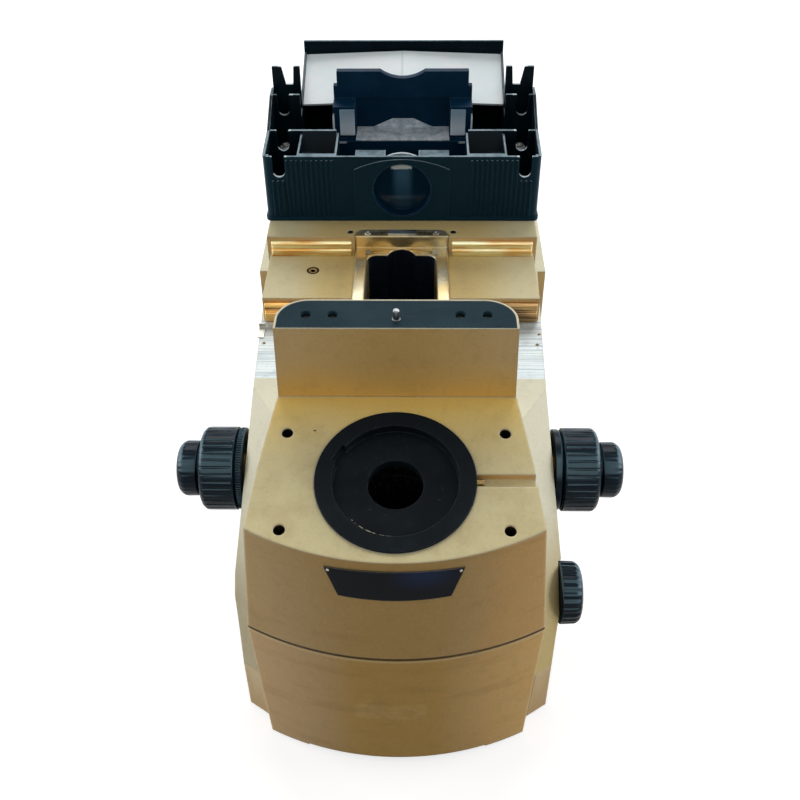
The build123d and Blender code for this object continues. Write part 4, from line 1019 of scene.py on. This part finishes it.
class MICROSCOPE_OT_leg_plate(bpy.types.Operator):
    """Slate plate on top of the leg, with its locating pin"""

    bl_idname = "microscope.leg_plate"
    bl_label = "Leg plate and pin"

    def execute(self, context):
        width = setting("edges").machined * 0.5
        dress(["stage_plate"], slate_finish(), width)
        dress_metal(["stage_pin"], width,
                    "Ground pin steel", tint(126, 130, 132), tint(70, 74, 78))
        return {"FINISHED"}


class MICROSCOPE_OT_bare_plate(bpy.types.Operator):
    """Glossy black plate on the nose, left bare, and its rivets"""

    bl_idname = "microscope.bare_plate"
    bl_label = "Nose plate"

    def execute(self, context):
        dress(["brand_plate"], bare_plate_finish(), NEAT)
        dress_metal(["plate_rivets"], NEAT,
                    "Rivet steel", tint(188, 182, 164), tint(112, 106, 92))
        return {"FINISHED"}


class MICROSCOPE_OT_tube_mount(bpy.types.Operator):
    """Black tube mount ring with its worn arc, and the clamp screw"""

    bl_idname = "microscope.tube_mount"
    bl_label = "Tube mount"

    def execute(self, context):
        dress(["tube_ring"], ring_finish(), setting("edges").machined)
        dress_metal(["tube_clamp_screw"], CRISP,
                    "Clamp screw brass", tint(150, 128, 82), tint(70, 58, 40))
        return {"FINISHED"}


class MICROSCOPE_OT_rails(bpy.types.Operator):
    """Machined rails, the floor screw, the guide screws and the pad clip"""

    bl_idname = "microscope.rails"
    bl_label = "Rails"

    def execute(self, context):
        for rail in RAIL_TONES:
            dress([rail], rail_finish(rail), setting("edges").machined)
        dress_metal(["carriage_screws", "bay_screws", "base_screws", "rear_screws", "pad_clip"],
                    CRISP, "Screw steel", tint(196, 196, 188), tint(120, 116, 104))
        dress(["floor_screw"], floor_screw_finish(), NEAT)
        black = black_finish("Blackened screw", tint(24, 26, 30), tint(44, 46, 48))
        dress(["guide_screws"], black.material, CRISP)
        return {"FINISHED"}


class MICROSCOPE_OT_carriage(bpy.types.Operator):
    """Milled nosepiece carriage with its index plate"""

    bl_idname = "microscope.carriage"
    bl_label = "Nosepiece carriage"

    def execute(self, context):
        dress(["nosepiece_carriage"], carriage_finish(), setting("edges").machined)
        dress_metal(["carriage_plate"], NEAT,
                    "Index plate", tint(178, 186, 190), tint(84, 90, 92))
        return {"FINISHED"}


class MICROSCOPE_OT_bay(bpy.types.Operator):
    """Moulded black bay with its posts, port, panel and bracket"""

    bl_idname = "microscope.bay"
    bl_label = "Illuminator bay"

    def execute(self, context):
        moulded = setting("edges").moulded
        dress(["bay_shell", "bay_posts"], bay_finish(), moulded)
        dress(["bay_bracket", "port_barrel"], bracket_finish(), moulded)
        dress(["bay_panel"], panel_finish(), CRISP)
        dress(["bracket_pads"], pads_finish(), moulded)
        dress(["bracket_shelf"], shelf_finish(), moulded)
        dress(["port_lens"], lens_finish(), NEAT)
        # The pale filter glass stands in for a glint above the port: painted highlight.
        glass = two_tone_finish("Ground filter glass", tint(150, 168, 176), tint(206, 216, 220),
                                90.0, (0.2, 0.3), detail=4.0)
        dress(["port_filter"], glass, NEAT)
        return {"FINISHED"}


# Bores of the turned parts, a little wider than their shafts, and where a dome comes to a point
COARSE_BORE = 0.0081
FINE_BORE = 0.0051
TORQUE_BORE = 0.0121
SELECTOR_BORE = 0.0041
DOME_FLAT = 0.0040
DOME_SINK = 0.0003


def coarse_outline(radius, inner, outer, depth):
    """Chamfered back, plain band, grooved grip, rounded front rim and sunk face."""
    chamfer, band = 0.0016, 0.0020
    grip_back, grip_front = inner + 0.0026, outer - 0.0048
    face_edge, face_radius, face = 0.0246, 0.0236, outer - 0.0009
    return [
        (inner, COARSE_BORE, 0.0), (inner, radius - chamfer, 0.0), (inner + 0.0012, radius, 0.0),
        (inner + band, radius, 0.0), (grip_back, radius, depth), (grip_front, radius, depth),
        (outer - 0.0030, radius - 0.0003, depth * 0.5), (outer - 0.0008, radius - 0.0022, 0.0),
        (outer, radius - 0.0040, 0.0), (outer, face_edge, 0.0), (face, face_radius, 0.0),
        (face, COARSE_BORE, 0.0), (inner, COARSE_BORE, 0.0),
    ]


def fine_outline(radius, inner, outer):
    """Neck, shallowly fluted side and domed end."""
    neck, neck_end, flute = 0.0180, inner + 0.0024, 0.0003
    return rounded([
        (inner, FINE_BORE, 0.0), (inner, neck - 0.0002, 0.0), (neck_end, neck, 0.0),
        (neck_end, radius - 0.0002, 0.0), (outer - 0.0054, radius, flute),
        (outer - 0.0016, radius - 0.0030, flute), (outer - 0.0001, radius - 0.0072, 0.0),
        (outer, DOME_FLAT, 0.0), (outer - DOME_SINK, 0.0, 0.0),
    ], 0.0018)


def torque_outline(radius, inner, outer, depth):
    """Plain back edge and straight teeth up to the front edge."""
    root = radius - 0.0002
    return [
        (inner, TORQUE_BORE, 0.0), (inner, radius - 0.0012, 0.0), (inner + 0.0008, root, 0.0),
        (inner + 0.0010, root, depth), (outer - 0.0006, radius, depth),
        (outer, radius - 0.0007, depth * 0.6), (outer, radius - 0.0020, 0.0),
        (outer, TORQUE_BORE, 0.0), (inner, TORQUE_BORE, 0.0),
    ]


def selector_outline(radius, inner, outer, depth):
    """Chamfered back, fluted side and flat domed end."""
    chamfer, grip_back, grip_front = 0.0012, inner + 0.0020, outer - 0.0048
    return rounded([
        (inner, SELECTOR_BORE, 0.0), (inner, radius - chamfer, 0.0),
        (inner + chamfer, radius, 0.0), (grip_back, radius, depth),
        (grip_front, radius - 0.0004, depth), (outer - 0.0016, radius - 0.0026, depth * 0.5),
        (outer, radius - 0.0072, 0.0), (outer, DOME_FLAT, 0.0), (outer - DOME_SINK, 0.0, 0.0),
    ], 0.0014)


class MICROSCOPE_OT_focus_knobs(bpy.types.Operator):
    """Grooved coarse knobs, domed fine knobs, torque ring and flange"""

    bl_idname = "microscope.focus_knobs"
    bl_label = "Focus knobs"

    def execute(self, context):
        knobs = setting("knobs")
        grip = knob_finish("Rubber knob grip", 0.2)
        plastic = knob_finish("Black knob plastic", 0.24)
        for side, hand in ((1, "right"), (-1, "left")):
            node = "coarse_knob_" + hand
            centre, *sizes = turned_sizes(node)
            maker = turned(coarse_outline(*sizes, knobs.coarse_depth), centre, side,
                           knobs.coarse_grooves, steps=10, cut=groove_cut)
            piece = link_piece("Coarse_knob_" + hand, maker, "coarse_drive", grip)
            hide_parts(node)

            node = "fine_knob_" + hand
            sizes = turned_sizes(node)[1:]
            maker = turned(fine_outline(*sizes), centre, side, count=30, steps=5, cut=flute_cut)
            piece = link_piece("Fine_knob_" + hand, maker, "fine_drive", plastic)
            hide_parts(node)

        sizes = turned_sizes("torque_ring")[1:]
        maker = turned(torque_outline(*sizes, knobs.torque_depth), centre, -1,
                       knobs.torque_teeth, steps=6, cut=tooth_cut)
        piece = link_piece("Torque_ring_teeth", maker, "torque_collar", plastic)
        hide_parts("torque_ring")
        dress(["focus_flange"], plastic, SOFT)
        return {"FINISHED"}


class MICROSCOPE_OT_selector(bpy.types.Operator):
    """Fluted light-path selector knob"""

    bl_idname = "microscope.selector"
    bl_label = "Selector knob"

    def execute(self, context):
        knobs = setting("knobs")
        centre, *sizes = turned_sizes("selector_knob")
        maker = turned(selector_outline(*sizes, knobs.selector_depth), centre, 1,
                       knobs.selector_flutes, steps=10, cut=flute_cut)
        piece = link_piece("Selector_knob_fluted", maker, "selector",
                           knob_finish("Selector knob plastic", 0.22))
        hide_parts("selector_knob")
        return {"FINISHED"}


class MICROSCOPE_OT_drive(bpy.types.Operator):
    """Shafts, bushes, gearbox, guides and the optics inside"""

    bl_idname = "microscope.drive"
    bl_label = "Drive and optics"

    def execute(self, context):
        dress_metal(["coarse_sleeve", "fine_shaft", "selector_shaft", "guide_rods"], 0.0,
                    "Ground shaft steel", tint(200, 204, 206), tint(150, 156, 160),
                    grain=(12.0, 1.0, 1.0))
        dress_metal(["bush_left", "bush_right", "selector_bush"], 0.0,
                    "Bush brass", tint(198, 164, 92), tint(140, 108, 54))
        dress_metal(["focus_gearbox", "mirror_mount", "relay_mount"], SOFT,
                    "Milled aluminium", tint(196, 200, 202), tint(150, 154, 158))
        mirror = two_tone_finish("Front silvered mirror", tint(226, 230, 232),
                                 tint(240, 242, 244), 50.0, (0.05, 0.03), metallic=1.0)
        dress(["fold_mirror", "relay_mirror"], mirror)
        glass = two_tone_finish("Coated glass", tint(206, 222, 214), tint(214, 210, 232), 40.0,
                                (0.04, 0.02), transmission_weight=0.9, ior=1.52)
        dress(["beam_prism", "tube_lens"], glass, NEAT)
        black = black_finish("Black lens barrel", tint(18, 20, 24), tint(30, 33, 36))
        dress(["prism_drum", "tube_lens_barrel", "side_port_ring"], black.material, SOFT)
        dress(["side_port_cap"], knob_finish("Dust cap plastic", 0.4), ROUND)
        return {"FINISHED"}


class MICROSCOPE_OT_underside(bpy.types.Operator):
    """Sheet steel base and rubber feet"""

    bl_idname = "microscope.underside"
    bl_label = "Underside"

    def execute(self, context):
        dress_metal(["base_plate"], NEAT,
                    "Plated base sheet", tint(178, 182, 182), tint(126, 128, 124), rough=0.36)
        rubber = Finish("Foot rubber", tint(24, 24, 26))
        rubber.coat(tint(48, 47, 46), rubber.cloud(80.0, 4.0))
        grain = rubber.cloud(900.0, 3.0)
        rubber.surface(roughness=grain * 0.15 + 0.72, normal=rubber.relief(grain, 0.4, 0.0001))
        dress(["feet"], rubber.material, ROUND)
        return {"FINISHED"}


def softbox(name, place, target, width, height, power):
    """Area lamp that looks at a point."""
    lamp = bpy.data.lights.new(name, "AREA")
    lamp.shape = "RECTANGLE"
    lamp.size = width
    lamp.size_y = height
    lamp.energy = power
    holder = bpy.data.objects.new(name, lamp)
    bpy.context.scene.collection.objects.link(holder)
    holder.location = place
    holder.rotation_euler = (Vector(target) - Vector(place)).to_track_quat("-Z", "Y").to_euler()


# Name, place, target, width and height of each softbox, and the setting with its power
SUBJECT = (0.0, 0.0, 0.12)
LAMPS = (
    ("Overhead", (0.0, 1.9, 2.05), (0.0, 0.0, 0.15), 2.6, 1.2, "overhead"),
    ("Side left", (-1.8, 0.25, 0.55), SUBJECT, 1.0, 0.9, "side"),
    ("Side right", (1.8, 0.25, 0.55), SUBJECT, 1.0, 0.9, "side"),
    ("Front strip", (0.0, -1.45, 1.25), SUBJECT, 1.5, 0.07, "fill"),
)


class MICROSCOPE_OT_studio(bpy.types.Operator):
    """Pale floor, soft light, and the camera of the photograph"""

    bl_idname = "microscope.studio"
    bl_label = "Studio"

    def execute(self, context):
        studio = setting("studio")
        scene = bpy.context.scene

        floor = Finish("White floor")
        floor.tree.nodes.remove(floor.shader)
        dim = floor.node("ShaderNodeBsdfDiffuse", {}, {"Color": tint(128, 128, 128)})
        white = floor.node("ShaderNodeBsdfDiffuse", {}, {"Color": tint(188, 188, 188)})
        glow = floor.node("ShaderNodeEmission", {}, {"Color": (1, 1, 1, 1), "Strength": 0.72})
        shown = floor.node("ShaderNodeAddShader", {}, {0: white, 1: glow})
        floor.show("Material Output", floor.node(
            "ShaderNodeMixShader", {}, {0: floor.seen(), 1: dim, 2: shown}))

        maker = bmesh.new()
        reach, back, bend = 6.0, 3.6, 2.0
        rows = [(-reach, 0.0), (back, 0.0)]
        rows += [(back + bend * math.sin(turn), bend - bend * math.cos(turn))
                 for turn in map(math.radians, range(10, 91, 10))]
        strips = [[maker.verts.new((x, y, z)) for x in (-reach, reach)] for y, z in rows]
        for first, second in zip(strips, strips[1:]):
            maker.faces.new((first[0], first[1], second[1], second[0]))
        smooth_with_creases(maker, math.radians(60))
        mesh = bpy.data.meshes.new("Sweep")
        maker.to_mesh(mesh)
        maker.free()
        sweep = bpy.data.objects.new("Sweep", mesh)
        scene.collection.objects.link(sweep)
        mesh.materials.append(floor.material)

        scene.world = bpy.data.worlds.new("Studio room")
        room = Nodes(scene.world)
        room.tree.nodes.remove(room.tree.nodes["Background"])
        sky = room.node("ShaderNodeBackground", {},
                        {"Color": (1, 1, 1, 1), "Strength": studio.sky})
        white = room.node("ShaderNodeBackground", {}, {"Strength": 1.0})
        room.show("World Output", room.node(
            "ShaderNodeMixShader", {}, {0: room.seen(), 1: sky, 2: white}))

        for name, place, target, width, height, power in LAMPS:
            softbox(name, place, target, width, height, getattr(studio, power))

        dip, turn, roll = studio.camera_dip, studio.camera_turn, studio.camera_roll
        ahead = Vector((math.sin(turn) * math.cos(dip), math.cos(turn) * math.cos(dip),
                        -math.sin(dip)))
        level = Vector((math.cos(turn), -math.sin(turn), 0))
        above = level.cross(ahead)
        right = math.cos(roll) * level + math.sin(roll) * above
        up = math.cos(roll) * above - math.sin(roll) * level
        camera = bpy.data.objects.new("Camera", bpy.data.cameras.new("Camera"))
        scene.collection.objects.link(camera)
        camera.matrix_world = (Matrix.Translation(studio.camera_place)
                               @ Matrix((right, up, -ahead)).transposed().to_4x4())
        camera.data.sensor_width = 36
        camera.data.lens = studio.focal_length
        scene.camera = camera
        scene.view_settings.view_transform = "Standard"
        return {"FINISHED"}


STEPS = (
    MICROSCOPE_OT_castings, MICROSCOPE_OT_leg_plate, MICROSCOPE_OT_bare_plate,
    MICROSCOPE_OT_tube_mount, MICROSCOPE_OT_rails, MICROSCOPE_OT_carriage, MICROSCOPE_OT_bay,
    MICROSCOPE_OT_focus_knobs, MICROSCOPE_OT_selector, MICROSCOPE_OT_drive,
    MICROSCOPE_OT_underside, MICROSCOPE_OT_studio,
)
GROUPS = {
    "microscope_paint": MicroscopePaint,
    "microscope_edges": MicroscopeEdges,
    "microscope_knobs": MicroscopeKnobs,
    "microscope_studio": MicroscopeStudio,
}


class MICROSCOPE_PT_panel(bpy.types.Panel):
    """Sidebar list of the sizes, colours and making steps"""

    bl_label = "Inverted Microscope"
    bl_idname = "MICROSCOPE_PT_panel"
    bl_space_type = "VIEW_3D"
    bl_region_type = "UI"
    bl_category = "Microscope"

    def draw(self, context):
        for name, group in GROUPS.items():
            box = self.layout.box()
            box.label(text=group.__doc__)
            for field in group.__annotations__:
                box.prop(getattr(context.scene, name), field)
        for step in STEPS:
            self.layout.operator(step.bl_idname)


def register():
    for kind in (*GROUPS.values(), *STEPS, MICROSCOPE_PT_panel):
        bpy.utils.register_class(kind)
    for name, group in GROUPS.items():
        setattr(bpy.types.Scene, name, PointerProperty(type=group))


def unregister():
    for name in GROUPS:
        delattr(bpy.types.Scene, name)
    for kind in reversed((*GROUPS.values(), *STEPS, MICROSCOPE_PT_panel)):
        bpy.utils.unregister_class(kind)


def main():
    register()
    for step in STEPS:
        family, action = step.bl_idname.split(".")
        getattr(getattr(bpy.ops, family), action)()


if __name__ == "__main__":
    main()
